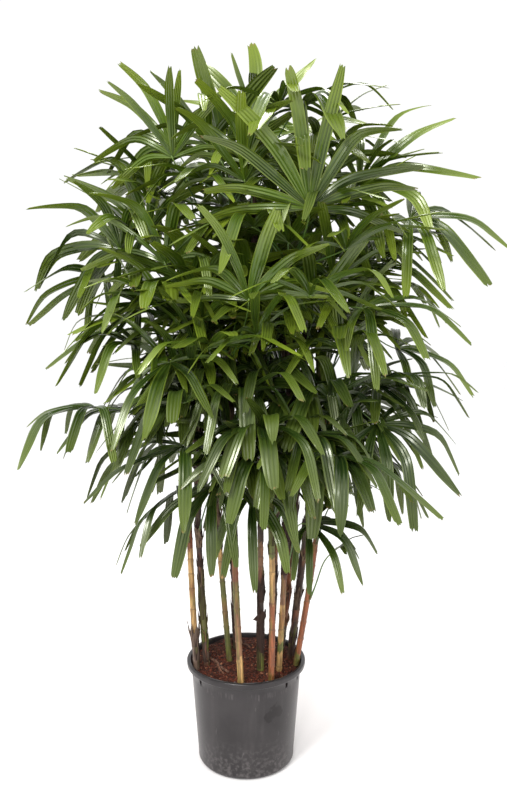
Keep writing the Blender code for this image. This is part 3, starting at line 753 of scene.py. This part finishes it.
def net_faces(first, rows, columns):
    """The faces of a net of points, which lie row after row."""
    wide = columns + 1
    lows = [first + row * wide + column for row in range(rows) for column in range(columns)]
    return [(low, low + 1, low + wide + 1, low + wide) for low in lows]


def above_compost(x, y, height):
    """A point at a height above the compost."""
    return Vector((x, y, compost_height(x, y) + height))


strip_parts = Gathered()
for number, (start, end, width) in enumerate(STRIPS):
    chance = random.Random(800 + number)
    start = above_compost(*start)
    end = above_compost(*end)
    along = (end - start).normalized()
    across = along.cross(UP).normalized()
    face = across.cross(along)
    tone = chance.random()
    husk = (*Vector(RUST).lerp(Vector(GREY), 0.35 + 0.4 * tone), 1.0)
    strip_parts.faces += net_faces(len(strip_parts.points), STRIP_ROWS, STRIP_COLUMNS)
    for row in range(STRIP_ROWS + 1):
        share = row / STRIP_ROWS
        middle = start.lerp(end, share) + face * STRIP_CURL * math.sin(math.pi * share * 2.0)
        middle.z = max(middle.z, compost_height(middle.x, middle.y) + 0.002)
        belly = 0.55 + 0.45 * math.sin(math.pi * (0.15 + 0.7 * share))
        half = 0.5 * width * belly * chance.uniform(0.85, 1.0)
        for column in range(STRIP_COLUMNS + 1):
            side = 2.0 * column / STRIP_COLUMNS - 1.0
            point = middle + across * half * side + face * half * STRIP_HOLLOW * side * side
            strip_parts.add(point, tone=tone, husk=husk)


# The sheaths: the torn leaf bases that still wrap the canes, each one a papery sleeve of crossed fibres that
# starts at a ring and ends in a ragged edge. Some are torn open, and loose fibres stick out from them all.
SHEATH_STEPS = 18
SHEATH_ROWS = 7
SHEATH_TALL = (0.035, 0.110)
SHEATH_AROUND = (0.45, 0.95)
SHEATH_OFF = 0.0021
SHEATH_FLARE = (0.0006, 0.0034)
TORN_ABOVE = 0.70
TORN_FLARE = 3.2
FIBRES = 6500
FIBRE_KINDS = 5
FIBRE_SPANS = 4
FIBRE_HALF = 0.00045

sheath_parts = Gathered()
for cane in range(len(CANES)):
    chance = random.Random(700 + cane)
    for ring in cane_rings(cane):
        colour, bare = stretch_at(cane, ring)
        tall = chance.uniform(*SHEATH_TALL)
        around = chance.uniform(*SHEATH_AROUND) * math.tau
        start = chance.uniform(0.0, math.tau)
        flare = chance.uniform(*SHEATH_FLARE)
        tone = chance.random()
        if tone > TORN_ABOVE:
            flare *= TORN_FLARE
        if bare:
            continue
        husk = (*Vector(colour).lerp(Vector(DARK), chance.uniform(0.1, 0.7)), 1.0)
        ragged = [chance.uniform(0.30, 1.0) for _ in range(SHEATH_STEPS + 1)]
        sheath_parts.faces += net_faces(len(sheath_parts.points), SHEATH_ROWS, SHEATH_STEPS)
        for row in range(SHEATH_ROWS + 1):
            share = row / SHEATH_ROWS
            for step in range(SHEATH_STEPS + 1):
                turn = start + around * step / SHEATH_STEPS
                height = ring + tall * share * ragged[step]
                edge = abs(2.0 * step / SHEATH_STEPS - 1.0) ** 3
                out = cane_radius(cane, height) + SHEATH_OFF + flare * share * share * (0.4 + edge)
                out += 0.0006 * math.sin(turn * 7.0 + tone * 9.0)
                sheath_parts.add(cane_point(cane, height) + way_to(turn) * out, tone=tone, husk=husk)

sheath_finish, shade, shader = new_finish("sheath_fibre", {"Specular IOR Level": 0.25})
tone = shade.named("tone")
husk = shade.named("husk", "Color")
husk = (tone.between(0.75, 0.99) * 0.5).blend(husk, (0.360, 0.250, 0.150, 1.0))
threads = shade.spots(330.0, 3.0, (1.0, 1.0, 0.06))
threads_dark = threads.between(0.36, 0.60)
feed(shader, Base_Color=threads_dark.blend((0.024, 0.012, 0.008, 1.0), husk), Roughness=0.6 + threads * 0.25)
feed(shader, Normal=shade.raised(threads, 0.0016, 0.8))
sheaths = sheath_parts.piece("cane_sheaths", sheath_finish, "cane")
strip_parts.piece("dry_strips", sheath_finish, "cane")


def fibre_shape(seed):
    """One loose fibre: a flat thread that bends as it rises."""
    chance = random.Random(seed)
    long_side = chance.uniform(0.014, 0.030)
    bend = chance.uniform(-0.5, 0.5)
    points = []
    for step in range(FIBRE_SPANS + 1):
        share = step / FIBRE_SPANS
        half = FIBRE_HALF * (1.0 - 0.8 * share)
        middle = Vector((bend * long_side * share * share, 0.1 * long_side * share, long_side * share))
        points.append(middle + Vector((0.0, -half, 0.0)))
        points.append(middle + Vector((0.0, half, 0.0)))
    mesh = bpy.data.meshes.new("fibre_shape")
    mesh.from_pydata(points, [], net_faces(0, FIBRE_SPANS, 1))
    return bpy.data.objects.new("fibre_shape", mesh)


fibre_kinds = bpy.data.collections.new("fibre_kinds")
for seed in range(FIBRE_KINDS):
    fibre_kinds.objects.link(fibre_shape(90 + seed))
sheath_area = sum(face.area for face in sheaths.data.polygons)
strewn_piece(
    "sheath_threads",
    "cane",
    sheaths.data.copy(),
    sheath_finish,
    Strewn=fibre_kinds,
    Per_square_metre=FIBRES / sheath_area,
    Smallest=0.3,
    Largest=1.0,
    Tilt=0.65,
    Seed=3,
)


# The fronds: each cane's young ones part from a short green shaft at its top, and older ones stand out below.
# A frond is a thin stalk with a fan of pleated leaflets, which are joined close to the stalk, arch over and
# end in a torn blunt tip. They follow the model's rule, and more of them fill the inside.
CROWN_FRONDS = 3
SHAFT_LENGTH = 0.075
FIRST_STALK = 0.20
FIRST_INNER_STALK = 0.68
STALK_STEP = 0.16
STALK_OUT = 0.25
STALK_UP = 0.55
STALK_INTO_BLADE = 0.30
STALK_DROP = 0.16
HIGHEST_STALK = 0.07
LOWEST_STALK = 0.20

# The fan: how far it opens in degrees, its web, and the width, lift and droop of its leaflets.
FAN_TURN = 104.0
TURN_PER_LEAFLET = 34.0
WEB_RADIUS = 0.026
LEAFLET_WIDTH = 0.132
WIDEST_AT = 0.33
WIDTH_OF_ROOM = 0.86
LIFT = 0.16
DROOP = 1.20
DROOP_BEND = 1.35
SAG_ALL_ALONG = 0.55
SAG_PAST_KNEE = 0.95
KNEE_AT = (0.10, 0.55)
KNEE_SPAN = 0.30
LEVELLING = 0.65
LINE_STEPS = 24

# A leaflet's own shape: its folds, and the shares of its length where it gets broad, flat, narrow and torn.
BLADE_ROWS = 15
BLADE_COLUMNS = 8
PLEAT = 0.0008
TROUGH = 0.85
BROAD_FROM = 0.46
FLAT_FROM = 0.75
TIP_FROM = 0.66
BLUNTNESS = (0.30, 0.80)
TORN_FROM = 0.7
TORN_BACK = 0.040
CORNER_BACK = 0.03

# How far a tip may stand out of the model's box, and how far left a low one may reach.
SPARE = 0.012
LOW_LEFT = -0.54

# By cane: where a frond's blade starts, the way it points (its heading is counted from +X towards +Y), its
# pitch and roll, its longest leaflet, and the number of leaflets. The first three of each cane are its crown.
SHOWN = (
    (
        ((-0.32, -0.05, 1.41), 185, 12, 55, 0.27, 8),
        ((-0.38, 0.06, 1.34), 188, -25, 30, 0.26, 6),
        ((-0.26, -0.10, 1.27), 210, -30, 40, 0.28, 7),
        ((-0.21, -0.08, 0.93), 200, -15, 45, 0.29, 7),
        ((-0.17, -0.11, 0.79), 215, -35, 30, 0.27, 6),
        ((-0.19, 0.05, 0.86), 150, -20, 0, 0.23, 6),
    ),
    (
        ((-0.20, -0.10, 1.37), 230, 55, 20, 0.27, 7),
        ((-0.10, -0.20, 1.23), 240, 40, 0, 0.23, 6),
        ((-0.18, -0.20, 1.13), 250, -30, 10, 0.28, 6),
        ((-0.08, -0.19, 0.82), 250, -40, 0, 0.24, 6),
    ),
    (
        ((-0.19, 0.05, 1.67), 180, 32, 50, 0.25, 8),
        ((-0.26, 0.13, 1.58), 165, 20, 35, 0.26, 7),
        ((-0.26, 0.05, 1.46), 185, 40, 60, 0.25, 7),
    ),
    (
        ((-0.06, 0.00, 1.63), 190, 62, 40, 0.30, 6),
        ((0.01, 0.07, 1.73), 150, 62, 50, 0.21, 6),
        ((-0.05, 0.28, 1.62), 95, 35, 0, 0.28, 8),
    ),
    (
        ((0.01, -0.30, 1.28), 270, 55, 0, 0.24, 8),
        ((-0.08, -0.28, 1.17), 290, 10, 0, 0.25, 7),
        ((-0.14, -0.25, 1.04), 215, 0, 20, 0.26, 6),
        ((-0.04, -0.20, 0.95), 120, 60, 0, 0.17, 5),
    ),
    (
        ((0.02, 0.00, 1.69), 10, 70, 60, 0.25, 8),
        ((0.13, -0.15, 1.73), 300, 5, 20, 0.27, 7),
        ((0.00, -0.17, 1.56), 262, 40, 0, 0.26, 7),
    ),
    (
        ((0.04, -0.28, 0.93), 275, -20, 0, 0.25, 7),
        ((0.14, -0.26, 0.96), 320, 0, 0, 0.25, 7),
        ((0.02, -0.21, 0.81), 265, -45, 0, 0.23, 5),
    ),
    (
        ((0.13, 0.22, 1.60), 60, 45, 0, 0.28, 8),
        ((0.00, 0.36, 1.47), 105, 10, 0, 0.28, 7),
        ((0.28, 0.30, 1.44), 48, 10, 0, 0.28, 7),
    ),
    (
        ((0.15, -0.25, 1.49), 275, 68, 0, 0.32, 10),
        ((0.15, -0.29, 1.29), 285, 25, 0, 0.24, 7),
        ((0.24, -0.20, 1.40), 325, 25, 0, 0.26, 7),
        ((0.16, -0.17, 0.72), 330, -15, 20, 0.21, 7),
    ),
    (
        ((0.29, -0.05, 1.57), 348, 28, 60, 0.29, 8),
        ((0.41, -0.09, 1.48), 350, -5, 35, 0.29, 7),
        ((0.32, 0.24, 1.46), 32, 22, 0, 0.27, 7),
    ),
    (
        ((0.32, 0.03, 1.37), 355, 10, 45, 0.26, 7),
        ((0.29, -0.16, 1.26), 335, -5, 20, 0.28, 7),
        ((0.40, 0.01, 1.15), 0, -12, 20, 0.25, 6),
    ),
    (
        ((0.34, -0.04, 1.06), 350, -15, 20, 0.25, 6),
        ((0.33, -0.14, 0.97), 325, -30, 30, 0.28, 8),
        ((0.31, 0.09, 0.99), 30, -20, 0, 0.25, 7),
        ((0.23, -0.17, 0.79), 300, 40, 0, 0.12, 6),
        ((0.23, -0.09, 0.62), 330, 35, 0, 0.10, 3),
    ),
)

# The fronds of the sides, the back and the inside, and the ranges that they are drawn from.
FILLERS = 104
OUTER_FILLERS = 30
INSIDE = 0.42
INSIDE_LOWEST = 1.02
INSIDE_PITCH = (0.0, 70.0)
FILLER_SEED = 7
GOLDEN_TURN = 137.5
GOLDEN_SHARE = 0.618
LOWEST_PITCH = -25.0
PITCH_PER_METRE = 50.0
FILLER_LOWEST = 0.73
FILLER_BELOW_TOP = 0.16
FILLER_REACH = (0.15, 0.27)
FILLER_RISE = (0.12, 0.20)
FILLER_LENGTH = (0.24, 0.30)
INNER_FRONDS = 6
INNER_STALK_STEP = 0.05
INNER_REACH = (0.09, 0.17)
INNER_RISE = (0.05, 0.24)
INNER_PITCH = (0.0, 55.0)
INNER_LENGTH = 0.24
OLD_BELOW = 1.12
OLD_DROOP = 1.6
YOUNG_ABOVE = 1.46


def fan_axes(heading, pitch, roll):
    """The way a blade points, its left side and its upper face."""
    turn = Matrix.Rotation(math.radians(heading), 3, "Z") @ Matrix.Rotation(math.radians(-pitch), 3, "Y")
    turn = turn @ Matrix.Rotation(math.radians(roll), 3, "X")
    return turn @ Vector((1.0, 0.0, 0.0)), turn @ Vector((0.0, 1.0, 0.0)), turn @ Vector((0.0, 0.0, 1.0))


def leaflet_line(start, ahead, side, length, droop, knee, swerve):
    """Points, side vectors and face vectors along a leaflet that leaves its stalk and bends down."""
    line = []
    point = start.copy()
    for step in range(LINE_STEPS + 1):
        share = step / LINE_STEPS
        past = min(max((share - knee) / KNEE_SPAN, 0.0), 1.0)
        bend = past * past * (3.0 - 2.0 * past)
        sag = droop * (SAG_ALL_ALONG * share ** DROOP_BEND + SAG_PAST_KNEE * bend)
        along = (ahead + side * swerve * share - UP * sag).normalized()
        across = (side - along * side.dot(along)).normalized()
        level = UP.cross(along)
        if level.dot(across) < 0.0:
            level = -level
        across = across.lerp(level, LEVELLING * share * min(level.length, 1.0)).normalized()
        across = (across - along * across.dot(along)).normalized()
        line.append((point.copy(), across, along.cross(across)))
        point = point + along * (length / LINE_STEPS)
    return line


def frond_plan(length, leaflets, seed):
    """Each leaflet's direction in the fan, its length, its width, its droop, and the turn that it has."""
    chance = random.Random(seed)
    turn = min(FAN_TURN, 0.5 * TURN_PER_LEAFLET * leaflets)
    edges = []
    for edge in range(leaflets + 1):
        angle = -turn + 2.0 * turn * edge / leaflets
        if 0 < edge < leaflets:
            angle += chance.uniform(-4.0, 4.0)
        edges.append(math.radians(angle))
    plan = []
    turn_each = math.radians(turn / leaflets)
    for leaflet in range(leaflets):
        angle = 0.5 * (edges[leaflet] + edges[leaflet + 1])
        share = 0.66 + 0.34 * math.cos(0.8 * angle) + chance.uniform(-0.09, 0.05)
        width = length * LEAFLET_WIDTH * (0.72 + 0.28 * math.cos(angle)) * chance.uniform(0.72, 1.28)
        room = 2.0 * (WIDEST_AT * length * share + 0.5 * WEB_RADIUS) * math.tan(turn_each)
        width = min(width, WIDTH_OF_ROOM * room)
        droop = DROOP * chance.uniform(0.45, 1.15)
        plan.append((angle, length * share, width, droop, turn_each))
    return plan


def add_blade(sheet, line, length, width, turn_each, tone, chance):
    """One pleated leaflet: a wedge where its neighbours are joined to it, then parallel, with a torn tip."""
    first = len(sheet.points)
    half_columns = BLADE_COLUMNS // 2
    torn = [chance.uniform(0.0, TORN_BACK) for _ in range(BLADE_COLUMNS + 1)]
    torn[0] += CORNER_BACK
    torn[-1] += CORNER_BACK
    blunt = chance.uniform(*BLUNTNESS)
    trough = TROUGH * chance.uniform(0.6, 1.2)
    for row in range(BLADE_ROWS + 1):
        share = row / BLADE_ROWS
        reach = share * length + 0.004
        open_out = 0.30 + 0.70 * math.sin(0.5 * math.pi * min(share / BROAD_FROM, 1.0))
        close_in = 1.0 - (1.0 - blunt) * max(0.0, (share - TIP_FROM) / (1.0 - TIP_FROM)) ** 1.9
        half = min(0.5 * width * open_out * close_in, reach * math.tan(turn_each) * 1.02)
        fold = trough * (1.0 - min(share / FLAT_FROM, 1.0)) ** 1.2 + 0.06
        in_tip = max(0.0, (share - TORN_FROM) / (1.0 - TORN_FROM))
        for column in range(BLADE_COLUMNS + 1):
            side = column / half_columns - 1.0
            at = share * (1.0 - torn[column] * in_tip) * LINE_STEPS
            low = min(int(at), LINE_STEPS - 1)
            rest = at - low
            point = line[low][0].lerp(line[low + 1][0], rest)
            across = line[low][1].lerp(line[low + 1][1], rest)
            face = line[low][2].lerp(line[low + 1][2], rest)
            ridge = PLEAT * (1.0 if column % 2 else -1.0) * min(1.0, half / 0.009)
            place = point + across * half * side + face * (abs(side) * half * fold + ridge)
            sheet.add(place, tone=tone, along=share, across=side)
    wide = BLADE_COLUMNS + 1
    for row in range(BLADE_ROWS):
        for column in range(BLADE_COLUMNS):
            low = first + row * wide + column
            sheet.faces.append((low, low + wide, low + wide + 1, low + 1))


def crease_along(mesh):
    """Keeps the folds between a leaflet's ribs crisp, while it stays smooth along its length."""
    ends = [0] * (2 * len(mesh.edges))
    mesh.edges.foreach_get("vertices", ends)
    wide = BLADE_COLUMNS + 1
    folds = [first % wide == second % wide for first, second in zip(ends[::2], ends[1::2])]
    mesh.attributes.new("sharp_edge", "BOOLEAN", "EDGE").data.foreach_set("value", folds)


def within_reach(point):
    """Whether a leaflet's tip stays inside the model's room, which is narrower low down on the left."""
    low, high = cad_box
    if point.z < OLD_BELOW and point.x < LOW_LEFT:
        return False
    return all(low[k] - SPARE < point[k] < high[k] + SPARE for k in range(3))


sheets = {"young": Gathered(), "grown": Gathered(), "old": Gathered()}
stalks = []


def kind_of(hub):
    """The kind of frond by its height: bright young ones at the top, dark old ones at the bottom."""
    if hub[2] > YOUNG_ABOVE:
        return "young"
    return "old" if hub[2] < OLD_BELOW else "grown"


def add_frond(frond, foot, outward, seed):
    """One frond with all its leaflets, on its stalk."""
    hub, heading, pitch, roll, length, leaflets = frond
    sheet = sheets[kind_of(hub)]
    hub = Vector(hub)
    ahead, side, upper = fan_axes(heading, pitch, roll)
    chance = random.Random(seed + 5000)
    frond_tone = chance.uniform(-0.22, 0.22)
    for angle, reach, width, droop, turn_each in frond_plan(length, leaflets, seed):
        outwards = (math.cos(angle) * ahead + math.sin(angle) * side + upper * LIFT).normalized()
        across = math.cos(angle) * side - math.sin(angle) * ahead
        swerve = chance.uniform(-0.22, 0.22)
        droop *= chance.choice((0.5, 0.8, 1.0, 1.5)) * (1.0 - 0.6 * max(ahead.z, 0.0))
        droop *= OLD_DROOP if hub.z < OLD_BELOW else 1.0
        knee = chance.uniform(*KNEE_AT)
        long_side = reach + 0.5 * WEB_RADIUS
        line = leaflet_line(hub, outwards, across, long_side, droop, knee, swerve)
        while not within_reach(line[-1][0]):
            long_side *= 0.96
            line = leaflet_line(hub, outwards, across, long_side, droop, knee, swerve)
        tone = min(max(chance.uniform(0.15, 0.85) + frond_tone, 0.0), 1.0)
        add_blade(sheet, line, long_side, width * chance.uniform(0.80, 1.04), turn_each, tone, chance)
    rise = max(hub.z - foot.z, 0.05)
    reach = (hub - foot).length
    leave = foot + outward * STALK_OUT * reach + UP * STALK_UP * rise
    arrive = hub - ahead * STALK_INTO_BLADE * reach
    stalks.append((foot, leave, arrive, hub + ahead * 0.006, chance.random()))


def foot_on_cane(cane, height, hub):
    """Where a lower frond's stalk stands against its cane, and the way out from the cane there."""
    axis = cane_point(cane, height)
    outward = Vector((hub[0] - axis.x, hub[1] - axis.y, 0.0)).normalized()
    return axis + outward * cane_radius(cane, height - 0.01), outward


def foot_on_shaft(cane, place, hub):
    """Where a crown frond's stalk begins inside the shaft, and the way out from there."""
    axis = cane_point(cane, CANES[cane][1][2]) + UP * SHAFT_LENGTH * place
    outward = Vector((hub[0] - axis.x, hub[1] - axis.y, 0.0)).normalized()
    return axis + outward * 0.001, outward


for cane in range(len(CANES)):
    top = CANES[cane][1][2]
    for number, frond in enumerate(SHOWN[cane][:CROWN_FRONDS]):
        foot, outward = foot_on_shaft(cane, FIRST_STALK + STALK_STEP * number, frond[0])
        add_frond(frond, foot, outward, 10 * cane + number)
    for number, frond in enumerate(SHOWN[cane][CROWN_FRONDS:]):
        height = max(min(frond[0][2] - STALK_DROP, top - HIGHEST_STALK), COMPOST_TOP + LOWEST_STALK)
        foot, outward = foot_on_cane(cane, height, frond[0])
        add_frond(frond, foot, outward, 500 + 10 * cane + number)
    chance = random.Random(FILLER_SEED + 100 * (cane + 1))
    for number in range(INNER_FRONDS):
        heading = GOLDEN_TURN * (2 * cane + number)
        hub = cane_point(cane, top) + way_to(math.radians(heading)) * chance.uniform(*INNER_REACH)
        hub += UP * chance.uniform(*INNER_RISE)
        pitch = chance.uniform(*INNER_PITCH)
        frond = (hub, heading, pitch, chance.uniform(-20.0, 20.0), INNER_LENGTH, 6)
        foot, outward = foot_on_shaft(cane, FIRST_INNER_STALK + INNER_STALK_STEP * number, hub)
        add_frond(frond, foot, outward, 300 + 10 * cane + number)

chance = random.Random(FILLER_SEED)
for number in range(FILLERS):
    cane = (5 * number) % len(CANES)
    top = CANES[cane][1][2] - FILLER_BELOW_TOP
    inside = number >= OUTER_FILLERS
    lowest = min(INSIDE_LOWEST, top) if inside else FILLER_LOWEST
    height = lowest + (top - lowest) * ((number * GOLDEN_SHARE) % 1.0)
    heading = number * GOLDEN_TURN
    reach = chance.uniform(*FILLER_REACH) * (INSIDE if inside else 1.0)
    hub = cane_point(cane, height) + way_to(math.radians(heading)) * reach
    hub += UP * chance.uniform(*FILLER_RISE)
    pitch = LOWEST_PITCH + PITCH_PER_METRE * (hub.z - FILLER_LOWEST) + chance.uniform(-10.0, 10.0)
    if inside:
        pitch = chance.uniform(*INSIDE_PITCH)
    length = chance.uniform(*FILLER_LENGTH)
    roll = chance.uniform(-15.0, 15.0)
    foot, outward = foot_on_cane(cane, height, hub)
    frond = (hub, heading, pitch, roll, length, 6 + number % 2)
    add_frond(frond, foot, outward, 900 + number)

# By kind: the colour deep in the blade, the colour of a lighter leaflet, and a lit yellow-green that is
# painted light on a leaflet's tip, edge and ribs.
LEAF_GREENS = {
    "young": ((0.012, 0.029, 0.003, 1.0), (0.060, 0.108, 0.005, 1.0), (0.210, 0.270, 0.022, 1.0)),
    "grown": ((0.008, 0.022, 0.003, 1.0), (0.047, 0.090, 0.005, 1.0), (0.190, 0.250, 0.020, 1.0)),
    "old": ((0.005, 0.015, 0.003, 1.0), (0.026, 0.054, 0.005, 1.0), (0.120, 0.160, 0.018, 1.0)),
}
LEAF_SHEEN = (0.95, 1.0, 0.70, 1.0)


def leaf_finish(kind):
    """A pleated palm leaf: fine lengthwise ribs, a soft waxy sheen, and painted light on its tip, edge and
    ribs.
    """
    deep, light, painted_light_green = LEAF_GREENS[kind]
    constants = {"Specular Tint": LEAF_SHEEN, "Coat Weight": 0.35, "Coat Roughness": 0.18}
    material, shade, shader = new_finish("leaf_" + kind, constants)
    tone = shade.named("tone")
    along = shade.named("along")
    across = shade.named("across")
    side = shade.reckon("ABSOLUTE", across)
    wave = shade.reckon("SINE", across * 13.0 + tone * 30.0)
    cloud = shade.spots(16.0, 3.0)
    green = (tone * 0.95 + cloud * 0.45 - 0.20).blend(deep, light)
    # Painted light: the tip is painted towards the lit yellow-green, as if light shone through the thin leaf.
    painted_tip_light = along.between(0.35, 1.0) * (0.15 + tone * 0.55)
    green = painted_tip_light.blend(green, painted_light_green)
    # Painted light on the edges and in stripes along the ribs, in the same lit yellow-green.
    green = (side.between(0.80, 1.0) * 0.45).blend(green, painted_light_green)
    green = (wave.between(0.2, 1.0) * 0.14).blend(green, painted_light_green)
    dry = along.between(0.965, 1.0) * shade.spots(60.0, 2.0).between(0.54, 0.66) * 0.8
    green = dry.blend(green, (0.210, 0.125, 0.045, 1.0))
    ribs = shade.raised(wave, 0.0002, 0.25)
    feed(shader, Base_Color=green, Roughness=0.22 + cloud * 0.20 + dry * 0.3, Normal=ribs)
    return material


crown_nodes = [f"crown_{cane + 1:02d}" for cane in range(len(CANES))]
frond_nodes = [name for name in frame["nodes"] if name.startswith("frond_")]
for kind, sheet in sheets.items():
    leaves = sheet.piece("leaves_" + kind, leaf_finish(kind), "leaf")
    crease_along(leaves.data)
    if kind == "young":
        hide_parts(*crown_nodes)
    elif kind == "grown":
        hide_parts(*frond_nodes)


# The stalks: thin, stiff and round, dark green and lighter towards the blade, each one thicker at the foot
# where it wraps its cane or shaft. The shaft at a cane's top is the rolled bases of its youngest fronds.
STALK_SIDES = 6
STALK_SPANS = 14
STALK_RADIUS = 0.0021

# The shaft's heights above the cane's top, and its width at each of them as a share of the cane's.
SHAFT_OUTLINE = ((-0.03, 1.05), (0.0, 1.15), (0.02, 1.05), (0.045, 0.85), (SHAFT_LENGTH, 0.25))

stalk_parts = Gathered()


def add_tube(centres, radii, tone):
    """A closed tube through points, for a stalk or a shaft."""
    stalk_parts.faces += tube_faces(len(stalk_parts.points), len(centres), STALK_SIDES)
    last = len(centres) - 1
    for index, (centre, radius) in enumerate(zip(centres, radii)):
        along = (centres[min(index + 1, last)] - centres[max(index - 1, 0)]).normalized()
        if index == 0:
            across = along.orthogonal().normalized()
        else:
            across = (across - along * across.dot(along)).normalized()
        face = along.cross(across)
        for side in range(STALK_SIDES):
            turn = math.tau * side / STALK_SIDES
            point = centre + radius * (math.cos(turn) * across + math.sin(turn) * face)
            stalk_parts.add(point, tone=tone, along=index / last)


for foot, leave, arrive, end, tone in stalks:
    centres = []
    radii = []
    for step in range(STALK_SPANS + 1):
        share = step / STALK_SPANS
        rest = 1.0 - share
        centres.append(
            foot * rest ** 3
            + leave * 3.0 * rest * rest * share
            + arrive * 3.0 * rest * share * share
            + end * share ** 3
        )
        radii.append(STALK_RADIUS * (1.0 - 0.25 * share + 0.9 * max(0.0, 1.0 - 9.0 * share)))
    add_tube(centres, radii, tone)
for cane in range(len(CANES)):
    top = CANES[cane][1][2]
    base = cane_point(cane, top)
    radius = cane_radius(cane, top)
    centres = [base + UP * height for height, _ in SHAFT_OUTLINE]
    add_tube(centres, [radius * width for _, width in SHAFT_OUTLINE], 0.6)

stalk_finish, shade, shader = new_finish("stalk_green", {"Roughness": 0.38, "Specular IOR Level": 0.5})
tone = shade.named("tone")
along = shade.named("along")
strings = shade.spots(210.0, 3.0, (1.0, 1.0, 0.2))
green = tone.blend((0.030, 0.075, 0.014, 1.0), (0.070, 0.135, 0.022, 1.0))
green = (along.between(0.55, 1.0) * 0.6).blend(green, (0.160, 0.240, 0.045, 1.0))
green = ((1.0 - along.between(0.0, 0.10)) * 0.8).blend(green, (0.110, 0.070, 0.030, 1.0))
feed(shader, Base_Color=green, Normal=shade.raised(strings, 0.0006, 0.5))
stalk_parts.piece("leaf_stalks", stalk_finish, "leaf")
